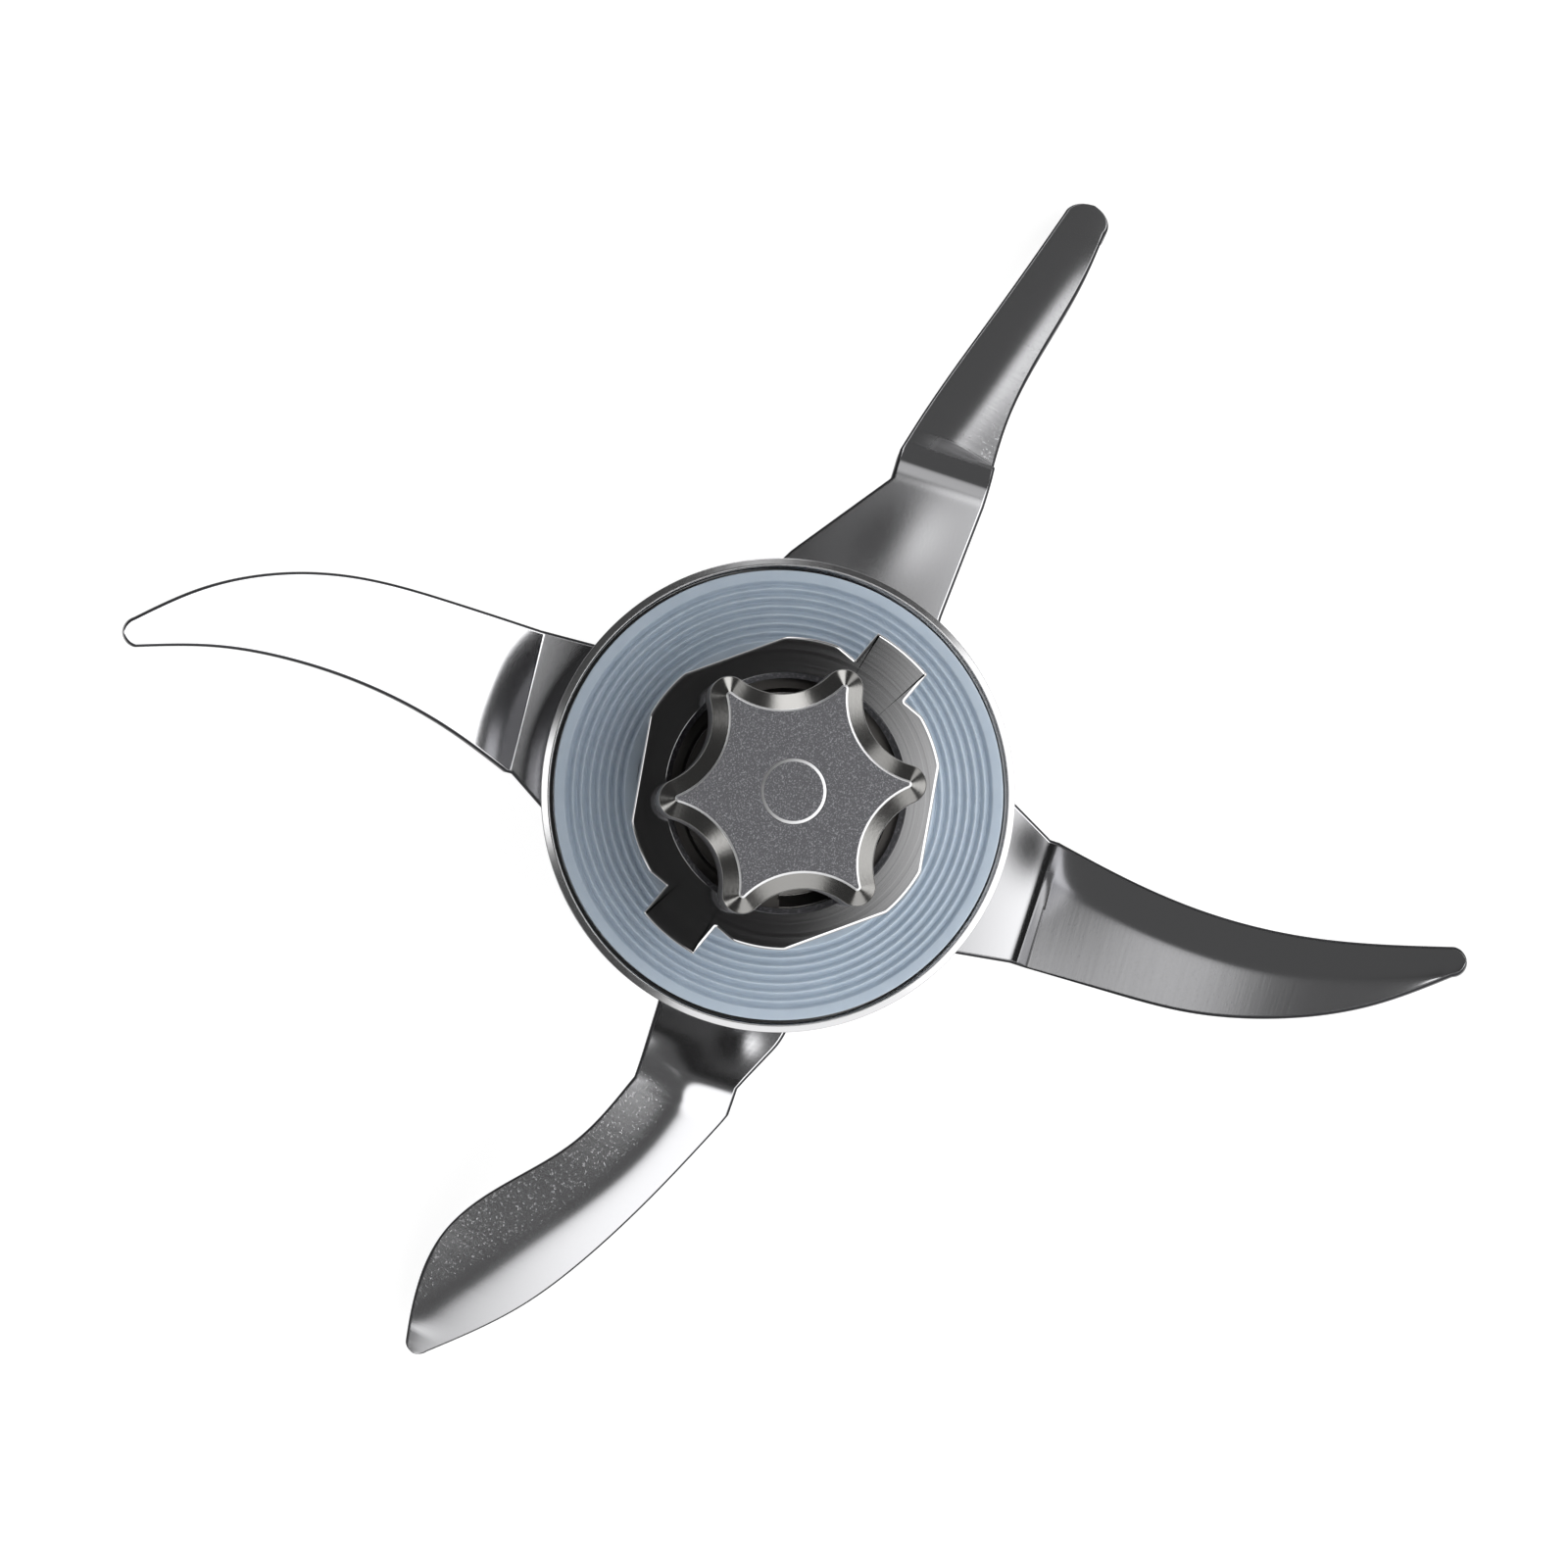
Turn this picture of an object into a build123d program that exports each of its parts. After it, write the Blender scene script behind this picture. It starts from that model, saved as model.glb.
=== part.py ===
from build123d import *
import os
from math import cos, degrees, radians, sin

# Mixing-knife unit of a cook-mixer jug: bayonet housing, drive star, sealed bearings, formed wings.
# Millimetres. +Z runs along the shaft towards the drive star, and Z = 0 is the sealing plane.
# +X runs through one bayonet lug.

# Clearances
PRESS_GAP = 0.02
SLIP_GAP = 0.05
RUN_GAP = 0.05

# Housing
RIM_RADIUS = 20.0
RIM_LIP = 0.65
RIM_DROP = 0.3
RIM_HEIGHT = 3.4
RIM_ROUND = 0.28
BELL_RADIUS = 11.4
BELL_SHOULDER = 1.6
BELL_ROUND = 2.5
FLANGE_WALL = 2.0
NECK_RADIUS = 12.0
NECK_END = 9.5
BORE_CHAMFER = 0.45
PLATE_HEIGHT = 4.4
PLATE_RADIUS = 12.95
PLATE_FLATS = 12.15
PLATE_SIDES = 6
PLATE_CHAMFER = 0.25
LUG_RADIUS = 15.3
LUG_WIDTH = 5.35
LUG_ROUND = 0.5

# Sealing ring
SEAL_DEPTH = 3.5
SEAL_RIM_GAP = 0.4
RIDGE_COUNT = 7
RIDGE_PITCH = 0.73
RIDGE_CREST = 0.31
RIDGE_DEPTH = 0.45
SEAL_LAND = 0.85
SEAL_ROUND = 0.28

# Ball bearings
BEARING_BORE = 8.0
BEARING_OUTSIDE = 19.0
BEARING_WIDTH = 6.0
BALL_DIAMETER = 3.0
BALL_COUNT = 8
INNER_LAND = 5.5
OUTER_LAND = 8.0
SHIELD_SEAT = 8.4
SHIELD_BORE = 5.75
SHIELD_THICKNESS = 0.3
SHIELD_RECESS = 0.25
CAGE_WALL = 1.0
CAGE_SHIELD_GAP = 0.25
CAGE_FINGERS = 1.0
BEARING_SPACING = 2.4

# Bearing retention
SHOULDER_Z = -8.0
SHOULDER_RADIUS = 7.6
SHOULDER_LIP = 1.5
WASHER_THICKNESS = 0.3
WASHER_RISE = 0.25
CIRCLIP_THICKNESS = 1.0
CIRCLIP_GROOVE_DEPTH = 0.5
CIRCLIP_BAND = 1.2
CIRCLIP_GAP = 26.0
CIRCLIP_ANGLE = 230.0
EAR_RADIUS = 1.15
EAR_HOLE = 0.55

# Shaft seal
LIP_SEAL_OUTSIDE = 17.0
LIP_SEAL_WIDTH = 5.0
LIP_SEAL_SHEET = 0.5
CASE_OPENING = 1.2
LIP_DEPTH = 3.0
LIP_THICKNESS = 1.1
LIP_WEB = 1.0
LIP_WEB_ROOT = 1.6
SPRING_WIRE = 0.9

# Shaft
COLLAR_RADIUS = 5.0
STUB_RADIUS = 2.65
END_CHAMFER = 0.25
FLANGE_RADIUS = 9.6
FLANGE_THICKNESS = 4.0
FLANGE_ROUND = 1.2
HOUSING_GAP = 1.0
SPIGOT_FLATS = 6.6
THREAD_RADIUS = 3.9

# Drive star
STAR_END = 20.0
STAR_HEIGHT = 9.2
STAR_TIP = 10.85
STAR_VALLEY = 7.9
STAR_TIP_ROUND = 1.6
STAR_LOBES = 6
STAR_ANGLE = 13.6
STAR_CHAMFER_WIDTH = 1.4
STAR_CHAMFER_DEPTH = 1.1
STAR_BOSS = 5.3

# Blades
SHEET = 2.0
CUTTING_EDGE = 0.35
BEND_RADIUS = 3.0
HUB_RADIUS = 11.0
ROOT_ROUND = 6.0

# Wings: azimuth and rise in degrees, the rest in millimetres. A wing's lead is its cutting edge and its
# trail is its back edge, both as (outwards, towards the back edge) from the bend.
NEAR_WING = dict(
    azimuth=116,
    bend_at=22.2,
    rise=9,
    root_lead=(12.0, -9.4),
    root_trail=(17.0, 6.9),
    lead=[(0, -9.5), (8, -10.0), (17.3, -10.0), (24.0, -8.5), (30.2, -5.4), (34.7, -1.8)],
    bevel=[(0, 0.0), (8.9, -3.5), (18, -4.9), (28, -4.0)],
    tip=(35.3, -0.3),
    trail=[(0, 3.3), (5.7, 1.0), (13.3, -0.9), (20.5, -1.5), (27.3, -1.0), (34.0, 0.7)],
)
FAR_WING = dict(
    azimuth=292,
    bend_at=25.0,
    rise=14,
    root_lead=(12.0, -9.0),
    root_trail=(20.0, 6.9),
    lead=[(0, -7.1), (8, -6.9), (15, -6.5), (22, -4.9), (30.6, -0.9), (36.3, 3.5)],
    bevel=[(0, 1.1), (8.9, -0.6), (18, -1.0), (29.9, 1.1)],
    tip=(37.1, 5.2),
    trail=[(0, 4.3), (6, 3.2), (14, 2.4), (24, 3.1), (35.7, 6.0)],
)
STEEP_WING = dict(
    azimuth=22,
    bend_at=30.5,
    rise=-36,
    root_lead=(20.0, -9.9),
    root_trail=(21.0, 5.0),
    lead=[(0, -10.5), (7.6, -10.6), (19.7, -12.6), (28.0, -14.2), (33.0, -14.8)],
    bevel=[(0, -5.8), (6.1, -7.8), (15.0, -10.2), (25.0, -12.8)],
    tip=(36.0, -13.2),
    trail=[(0, -1.9), (4.5, -2.9), (20.4, -7.1), (34.2, -10.7)],
)
BROAD_WING = dict(
    azimuth=202,
    bend_at=25.0,
    rise=-33,
    root_lead=(19.0, -3.4),
    root_trail=(20.0, 8.0),
    lead=[(0, -3.3), (9.1, -6.6), (18.0, -12.7), (22.5, -14.8), (28.5, -15.6), (34.6, -15.0)],
    bevel=[(0, 0.9), (5.2, -0.4), (12.9, -3.7), (21.4, -8.7), (30.0, -14.3)],
    tip=(35.6, -13.9),
    trail=[(0, 5.6), (9.6, 2.2), (20.0, -2.2), (27.1, -6.2), (35.0, -12.8)],
)

# Blade fastening
PAD_RADIUS = 8.5
PAD_THICKNESS = 1.0
NUT_FLATS = 13.0
NUT_HEIGHT = 5.0
NUT_DOME = 3.0
NUT_CHAMFER = 0.75
NUT_SIDES = 6

# Places along the shaft that follow from the sizes above
bearing_radius = BEARING_OUTSIDE / 2
bore_radius = BEARING_BORE / 2
ball_radius = BALL_DIAMETER / 2
pitch_radius = (bearing_radius + bore_radius) / 2
blade_bearing_z = SHOULDER_Z
coupling_bearing_z = blade_bearing_z + BEARING_WIDTH + BEARING_SPACING
bearing_top_z = coupling_bearing_z + BEARING_WIDTH
circlip_z = bearing_top_z + WASHER_RISE + WASHER_THICKNESS
lip_seal_z = SHOULDER_Z - SHOULDER_LIP
bell_end_z = lip_seal_z - LIP_SEAL_WIDTH - 2 * PRESS_GAP
flange_z = bell_end_z - HOUSING_GAP
lower_blade_z = flange_z - FLANGE_THICKNESS
upper_blade_z = lower_blade_z - SHEET
pad_z = upper_blade_z - SHEET
nut_z = pad_z - PAD_THICKNESS
nut_bottom_z = nut_z - NUT_HEIGHT - NUT_DOME
channel_radius = RIM_RADIUS - RIM_LIP
seal_radius = channel_radius - SEAL_RIM_GAP


def turned(points, rounds=()):
    """A solid of revolution about Z from (radius, height) corners; rounds lists (corner, fillet radius)."""
    profile = make_face(Polyline(*[(r, 0, z) for r, z in points], close=True))
    for (r, z), radius in rounds:
        corner = profile.vertices().sort_by_distance((r, 0, z))[0]
        profile = fillet(corner, radius)
    return revolve(profile, Axis.Z)


def tube(inner, outer, low, high):
    """A plain ring between two radii and two heights."""
    return turned([(inner, low), (outer, low), (outer, high), (inner, high)])


def bearing_housing():
    """The turned bell, its neck and the milled bayonet plate on the neck's end."""
    mouth = bearing_radius + BORE_CHAMFER
    groove = bearing_radius + CIRCLIP_GROOVE_DEPTH
    groove_top = circlip_z + CIRCLIP_THICKNESS + SLIP_GAP
    pocket = LIP_SEAL_OUTSIDE / 2
    rim_foot = -RIM_DROP - RIM_HEIGHT
    flank_foot = -SEAL_DEPTH - FLANGE_WALL
    flank = (channel_radius, flank_foot)
    shoulder = (BELL_RADIUS + BELL_SHOULDER, bell_end_z + BELL_SHOULDER)
    body = turned(
        [
            (mouth, NECK_END),
            (bearing_radius, NECK_END - BORE_CHAMFER),
            (bearing_radius, groove_top),
            (groove, groove_top),
            (groove, circlip_z),
            (bearing_radius, circlip_z),
            (bearing_radius, SHOULDER_Z),
            (SHOULDER_RADIUS, SHOULDER_Z),
            (SHOULDER_RADIUS, lip_seal_z),
            (pocket, lip_seal_z),
            (pocket, bell_end_z),
            (BELL_RADIUS, bell_end_z),
            shoulder,
            flank,
            (RIM_RADIUS, rim_foot),
            (RIM_RADIUS, -RIM_DROP),
            (channel_radius, -RIM_DROP),
            (channel_radius, -SEAL_DEPTH),
            (NECK_RADIUS, -SEAL_DEPTH),
            (NECK_RADIUS, NECK_END),
        ],
        rounds=[
            (shoulder, BELL_ROUND),
            (flank, BELL_ROUND),
            ((RIM_RADIUS, -RIM_DROP), RIM_ROUND),
            ((channel_radius, -RIM_DROP), RIM_ROUND),
        ],
    )
    flats = Rot(0, 0, 180 / PLATE_SIDES) * RegularPolygon(PLATE_FLATS, PLATE_SIDES, major_radius=False)
    lugs = Circle(LUG_RADIUS) & Rectangle(2 * LUG_RADIUS, LUG_WIDTH)
    lugs = fillet(lugs.vertices(), LUG_ROUND)
    outline = (Circle(PLATE_RADIUS) & flats) + lugs
    plate = extrude(Pos(0, 0, NECK_END - PLATE_HEIGHT) * outline, PLATE_HEIGHT)
    plate = chamfer(plate.faces().sort_by(Axis.Z)[-1].edges(), PLATE_CHAMFER)
    core = tube(0, (groove + NECK_RADIUS) / 2, NECK_END - PLATE_HEIGHT, NECK_END)
    return body + (plate - core)


def sealing_ring():
    """Ribbed ring: sharp-bottomed grooves cut in its face, and a plain land at its outer edge."""
    inner = NECK_RADIUS + SLIP_GAP
    land = seal_radius - SEAL_LAND
    points = [(inner, -SEAL_DEPTH), (seal_radius, -SEAL_DEPTH), (seal_radius, 0), (land, 0)]
    groove_width = RIDGE_PITCH - RIDGE_CREST
    for ridge in range(RIDGE_COUNT):
        edge = land - ridge * RIDGE_PITCH
        points += [(edge - groove_width / 2, -RIDGE_DEPTH), (edge - groove_width, 0)]
        points += [(edge - RIDGE_PITCH, 0)]
    points += [(inner, -RIDGE_DEPTH)]
    return turned(points, rounds=[((seal_radius, 0), SEAL_ROUND)])


def outer_race(z):
    """Outer ring of a bearing with its ball groove and a seat for a shield at each end."""
    seat = SHIELD_RECESS + SHIELD_THICKNESS
    top = z + BEARING_WIDTH
    ring = turned(
        [
            (SHIELD_SEAT, z),
            (bearing_radius - PRESS_GAP, z),
            (bearing_radius - PRESS_GAP, top),
            (SHIELD_SEAT, top),
            (SHIELD_SEAT, top - seat),
            (OUTER_LAND, top - seat),
            (OUTER_LAND, z + seat),
            (SHIELD_SEAT, z + seat),
        ]
    )
    return ring - ball_track(z)


def inner_race(z):
    """Inner ring of a bearing with its ball groove."""
    return tube(bore_radius + PRESS_GAP, INNER_LAND, z, z + BEARING_WIDTH) - ball_track(z)


def ball_track(z):
    """The ring-shaped space that the balls run in, with their running clearance."""
    return Pos(0, 0, z + BEARING_WIDTH / 2) * Torus(pitch_radius, ball_radius + RUN_GAP)


def ball_places(z):
    return PolarLocations(pitch_radius, BALL_COUNT), Pos(0, 0, z + BEARING_WIDTH / 2)


def balls(z):
    """The balls of one bearing, as separate solids."""
    around, height = ball_places(z)
    return Compound(children=[height * place * Solid.make_sphere(ball_radius) for place in around])


def cage(z):
    """Crown cage: a ring with open pockets, one for each ball."""
    around, height = ball_places(z)
    base = shield_places(z)[1] + SHIELD_THICKNESS + CAGE_SHIELD_GAP
    fingers = z + BEARING_WIDTH / 2 + CAGE_FINGERS
    ring = tube(pitch_radius - CAGE_WALL / 2, pitch_radius + CAGE_WALL / 2, base, fingers)
    for place in around:
        ring -= height * place * Sphere(ball_radius + RUN_GAP)
    return ring


def shield(z):
    """Thin disc that closes a bearing's end, held in the outer ring's seat."""
    return tube(SHIELD_BORE, SHIELD_SEAT - PRESS_GAP, z, z + SHIELD_THICKNESS)


def shield_places(z):
    """Heights of the shields at a bearing's coupling end and blade end."""
    return z + BEARING_WIDTH - SHIELD_RECESS - SHIELD_THICKNESS, z + SHIELD_RECESS


def preload_washer():
    """Conical spring washer between the coupling bearing and the circlip."""
    inner = SHIELD_SEAT + SLIP_GAP
    outer = bearing_radius - 2 * SLIP_GAP
    low = bearing_top_z
    return turned(
        [
            (inner, low),
            (outer, low + WASHER_RISE),
            (outer, low + WASHER_RISE + WASHER_THICKNESS),
            (inner, low + WASHER_THICKNESS),
        ]
    )


def bearing_circlip():
    """Internal retaining ring with a gap and two ears with plier holes."""
    outer = bearing_radius + CIRCLIP_GROOVE_DEPTH - SLIP_GAP
    inner = outer - CIRCLIP_BAND
    ear_place = inner - EAR_RADIUS / 2
    half_gap = CIRCLIP_GAP / 2
    reach = 2 * outer
    corners = [(reach * cos(radians(a)), reach * sin(radians(a))) for a in (-half_gap, half_gap)]
    band = Circle(outer) - Circle(inner) - make_face(Polyline((0, 0), *corners, close=True))
    ear_turn = half_gap + degrees(EAR_RADIUS / ear_place)
    for side in (-ear_turn, ear_turn):
        place = Rot(0, 0, side) * Pos(ear_place, 0)
        band = band + place * Circle(EAR_RADIUS) - place * Circle(EAR_HOLE)
    ring = extrude(band, CIRCLIP_THICKNESS)
    return Pos(0, 0, circlip_z) * Rot(0, 0, CIRCLIP_ANGLE) * ring


def shaft_seal_case():
    """Pressed steel cup of the lip seal, with its floor against the housing's shoulder."""
    outer = LIP_SEAL_OUTSIDE / 2 - PRESS_GAP
    top = lip_seal_z - PRESS_GAP
    low = top - LIP_SEAL_WIDTH
    floor = COLLAR_RADIUS + CASE_OPENING
    return turned(
        [
            (outer, low),
            (outer, top),
            (floor, top),
            (floor, top - LIP_SEAL_SHEET),
            (outer - LIP_SEAL_SHEET, top - LIP_SEAL_SHEET),
            (outer - LIP_SEAL_SHEET, low),
        ]
    )


def lip_seal_section():
    """Outer wall, top, lip edge height and spring seat radius of the rubber lip."""
    wall = LIP_SEAL_OUTSIDE / 2 - LIP_SEAL_SHEET - 2 * PRESS_GAP
    top = lip_seal_z - LIP_SEAL_SHEET - 2 * PRESS_GAP
    edge = top - LIP_DEPTH
    seat = COLLAR_RADIUS + LIP_THICKNESS
    return wall, top, edge, seat


def shaft_seal_lip():
    """Rubber lip: a web in the cup and a tongue that runs on the shaft's collar."""
    wall, top, edge, seat = lip_seal_section()
    lip = COLLAR_RADIUS + RUN_GAP
    return turned(
        [
            (wall, top),
            (seat, top),
            ((lip + seat) / 2, edge + LIP_WEB),
            (lip, edge),
            (seat, edge - LIP_WEB),
            (seat, top - LIP_WEB_ROOT),
            (wall, top - LIP_WEB),
        ]
    )


def shaft_seal_spring():
    """Garter spring that holds the lip against the collar, as a closed ring of its outer form."""
    wall, top, edge, seat = lip_seal_section()
    return Pos(0, 0, edge) * Torus(seat + SPRING_WIRE / 2 + PRESS_GAP, SPRING_WIRE / 2)


def spigot_outline(radius, flats):
    """A circle with two flats, which keeps the blades from turning on the shaft."""
    return Circle(radius) & Rectangle(2 * radius, flats)


def drive_shaft():
    """Stepped shaft: stub in the star, bearing seat, seal collar, blade flange, flatted spigot, thread."""
    seat_top = bearing_top_z - SLIP_GAP
    flange_low = lower_blade_z
    body = turned(
        [
            (0, STAR_END),
            (STUB_RADIUS - END_CHAMFER, STAR_END),
            (STUB_RADIUS, STAR_END - END_CHAMFER),
            (STUB_RADIUS, seat_top),
            (bore_radius, seat_top),
            (bore_radius, SHOULDER_Z),
            (COLLAR_RADIUS, SHOULDER_Z),
            (COLLAR_RADIUS, flange_z),
            (FLANGE_RADIUS, flange_z),
            (FLANGE_RADIUS, flange_low),
            (0, flange_low),
        ],
        rounds=[((FLANGE_RADIUS, flange_z), FLANGE_ROUND)],
    )
    thread_end = nut_z - NUT_HEIGHT + PRESS_GAP
    spigot = extrude(Pos(0, 0, pad_z) * spigot_outline(bore_radius, SPIGOT_FLATS), lower_blade_z - pad_z)
    thread_outline = spigot_outline(THREAD_RADIUS, SPIGOT_FLATS)
    thread = extrude(Pos(0, 0, thread_end) * thread_outline, pad_z - thread_end)
    return body + spigot + thread


def star_outline():
    """Six round tips joined by round valleys, each arc tangent to the next."""
    half = radians(180 / STAR_LOBES)
    tip_place = STAR_TIP - STAR_TIP_ROUND
    across = tip_place * cos(half)
    valley_round = (STAR_TIP_ROUND**2 - tip_place**2 - STAR_VALLEY**2 + 2 * across * STAR_VALLEY) / (
        2 * (STAR_VALLEY - across - STAR_TIP_ROUND)
    )
    valley_centre = Vector(STAR_VALLEY + valley_round, 0).rotate(Axis.Z, degrees(half))
    tip_centre = Vector(tip_place, 0)
    joint = tip_centre + (valley_centre - tip_centre).normalized() * STAR_TIP_ROUND
    start = Vector(joint.X, -joint.Y)
    valley = Vector(STAR_VALLEY, 0).rotate(Axis.Z, degrees(half))
    step = 360 / STAR_LOBES
    arcs = []
    for lobe in range(STAR_LOBES):
        turn = lobe * step
        tip = [p.rotate(Axis.Z, turn) for p in (start, Vector(STAR_TIP, 0), joint)]
        dip = [p.rotate(Axis.Z, turn) for p in (joint, valley, start.rotate(Axis.Z, step))]
        arcs += [ThreePointArc(*tip), ThreePointArc(*dip)]
    return make_face(arcs)


def drive_star():
    """Lobed coupling with a wide bevel round its end face and a boss that clamps the bearings."""
    low = STAR_END - STAR_HEIGHT
    lobes = extrude(Pos(0, 0, low) * Rot(0, 0, STAR_ANGLE) * star_outline(), STAR_HEIGHT)
    end_edges = lobes.faces().sort_by(Axis.Z)[-1].edges()
    lobes = chamfer(end_edges, STAR_CHAMFER_DEPTH, STAR_CHAMFER_WIDTH)
    boss = tube(0, STAR_BOSS, bearing_top_z, low)
    bore = tube(0, STUB_RADIUS + PRESS_GAP, bearing_top_z, STAR_END)
    return lobes + boss - bore


def blade_blank(lead, bevel, tip, trail):
    """A flat wing from the bend outwards: X runs outwards, Y towards the back edge.

    The far face has the full outline. On the side of the drive star the cutting side is ground back
    to the bevel line, which starts at the bend and meets the cutting edge at the tip, so the sheet
    thins from its full thickness to the cutting edge."""
    back = Spline(*reversed(trail))
    point = ThreePointArc(lead[-1], tip, trail[-1])
    full = make_face([Spline(*lead), point, back, Line(trail[0], lead[0])])
    ground = make_face([Spline(*bevel, lead[-1]), point, back, Line(trail[0], bevel[0])])
    low = Pos(0, 0, -SHEET) * full
    edge = Pos(0, 0, CUTTING_EDGE - SHEET) * full
    return extrude(low, CUTTING_EDGE, dir=(0, 0, 1)) + loft([edge, ground], ruled=True)


def wing(azimuth, bend_at, rise, root_lead, root_trail, lead, bevel, tip, trail):
    """One wing of a strip: flat root from the hub, round bend, then the ground blank.

    azimuth is the way the bend faces, bend_at its distance from the shaft, and rise its angle,
    positive towards the drive star. Outlines give (outwards, towards the back edge) from the bend."""
    way = 1 if rise > 0 else -1
    axis_z = BEND_RADIUS if rise > 0 else -SHEET - BEND_RADIUS
    hinge = Axis((bend_at, 0, axis_z), (0, -way, 0))
    width = trail[0][1] - lead[0][1]
    middle = (trail[0][1] + lead[0][1]) / 2
    end = Plane((bend_at, middle, -SHEET / 2), x_dir=(0, 1, 0), z_dir=(1, 0, 0)) * Rectangle(width, SHEET)
    bend = revolve(end, hinge, abs(rise))
    blank = (Pos(bend_at, 0, 0) * blade_blank(lead, bevel, tip, trail)).rotate(hinge, abs(rise))
    corners = [
        (0, -HUB_RADIUS),
        root_lead,
        (bend_at, lead[0][1]),
        (bend_at, trail[0][1]),
        root_trail,
        (0, HUB_RADIUS),
    ]
    outline = make_face(Polyline(*corners, close=True))
    for corner in (root_lead, root_trail):
        outline = fillet(outline.vertices().sort_by_distance(corner)[0], ROOT_ROUND)
    root = extrude(Pos(0, 0, -SHEET) * outline, SHEET)
    return Rot(0, 0, azimuth) * (root + bend + blank)


def blade(face_z, wings):
    """A strip of two wings on a round hub with a flatted hole for the shaft's spigot."""
    strip = tube(0, HUB_RADIUS, -SHEET, 0)
    for each in wings:
        strip += each
    hole = spigot_outline(bore_radius + SLIP_GAP, SPIGOT_FLATS + 2 * SLIP_GAP)
    strip -= extrude(Pos(0, 0, -SHEET) * hole, SHEET)
    return Pos(0, 0, face_z) * strip


def lower_blade():
    """The strip next to the housing, with both wings bent towards the drive star."""
    return blade(lower_blade_z, [wing(**NEAR_WING), wing(**FAR_WING)])


def upper_blade():
    """The strip next to the nut, with both wings bent away from the drive star."""
    return blade(upper_blade_z, [wing(**STEEP_WING), wing(**BROAD_WING)])


def blade_washer():
    """Round washer under the nut."""
    return tube(THREAD_RADIUS + SLIP_GAP, PAD_RADIUS, nut_z, pad_z)


def cap_nut():
    """Hexagon nut with a domed closed end."""
    corner = NUT_FLATS / 2 / cos(radians(180 / NUT_SIDES))
    hexagon = RegularPolygon(corner, NUT_SIDES)
    hex_low = nut_z - NUT_HEIGHT
    body = extrude(Pos(0, 0, hex_low) * hexagon, NUT_HEIGHT)
    dome_foot = NUT_FLATS / 2 - NUT_CHAMFER
    dome_radius = (dome_foot**2 + NUT_DOME**2) / (2 * NUT_DOME)
    dome = Pos(0, 0, nut_bottom_z + dome_radius) * Sphere(dome_radius)
    dome = dome & tube(0, NUT_FLATS / 2, nut_bottom_z - NUT_DOME, hex_low)
    turning = turned(
        [
            (0, nut_z),
            (corner, nut_z),
            (corner, hex_low + NUT_CHAMFER),
            (NUT_FLATS / 2, hex_low),
            (0, hex_low),
        ]
    )
    thread = tube(0, THREAD_RADIUS + PRESS_GAP, hex_low, nut_z)
    return (body & turning) + dome - thread


def build():
    """Every piece by its node's name."""
    pieces = {
        "bearing_housing": bearing_housing(),
        "sealing_ring": sealing_ring(),
        "bearing_circlip": bearing_circlip(),
        "preload_washer": preload_washer(),
        "outer_spacer": tube(
            SHIELD_SEAT, bearing_radius - PRESS_GAP, blade_bearing_z + BEARING_WIDTH, coupling_bearing_z
        ),
        "inner_spacer": tube(
            bore_radius + PRESS_GAP, INNER_LAND, blade_bearing_z + BEARING_WIDTH, coupling_bearing_z
        ),
        "shaft_seal_case": shaft_seal_case(),
        "shaft_seal_lip": shaft_seal_lip(),
        "shaft_seal_spring": shaft_seal_spring(),
        "drive_shaft": drive_shaft(),
        "drive_star": drive_star(),
        "lower_blade": lower_blade(),
        "upper_blade": upper_blade(),
        "blade_washer": blade_washer(),
        "cap_nut": cap_nut(),
    }
    for name, z in (("coupling_bearing", coupling_bearing_z), ("blade_bearing", blade_bearing_z)):
        outer_shield_z, inner_shield_z = shield_places(z)
        pieces[f"{name}_outer_race"] = outer_race(z)
        pieces[f"{name}_inner_race"] = inner_race(z)
        pieces[f"{name}_balls"] = balls(z)
        pieces[f"{name}_cage"] = cage(z)
        pieces[f"{name}_outer_shield"] = shield(outer_shield_z)
        pieces[f"{name}_inner_shield"] = shield(inner_shield_z)
    return pieces


os.makedirs("parts", exist_ok=True)
for node, piece in build().items():
    export_step(piece, f"parts/{node}.step")
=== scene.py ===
import math

import bmesh
import bpy
import numpy as np
from mathutils import Matrix, Vector


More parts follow.
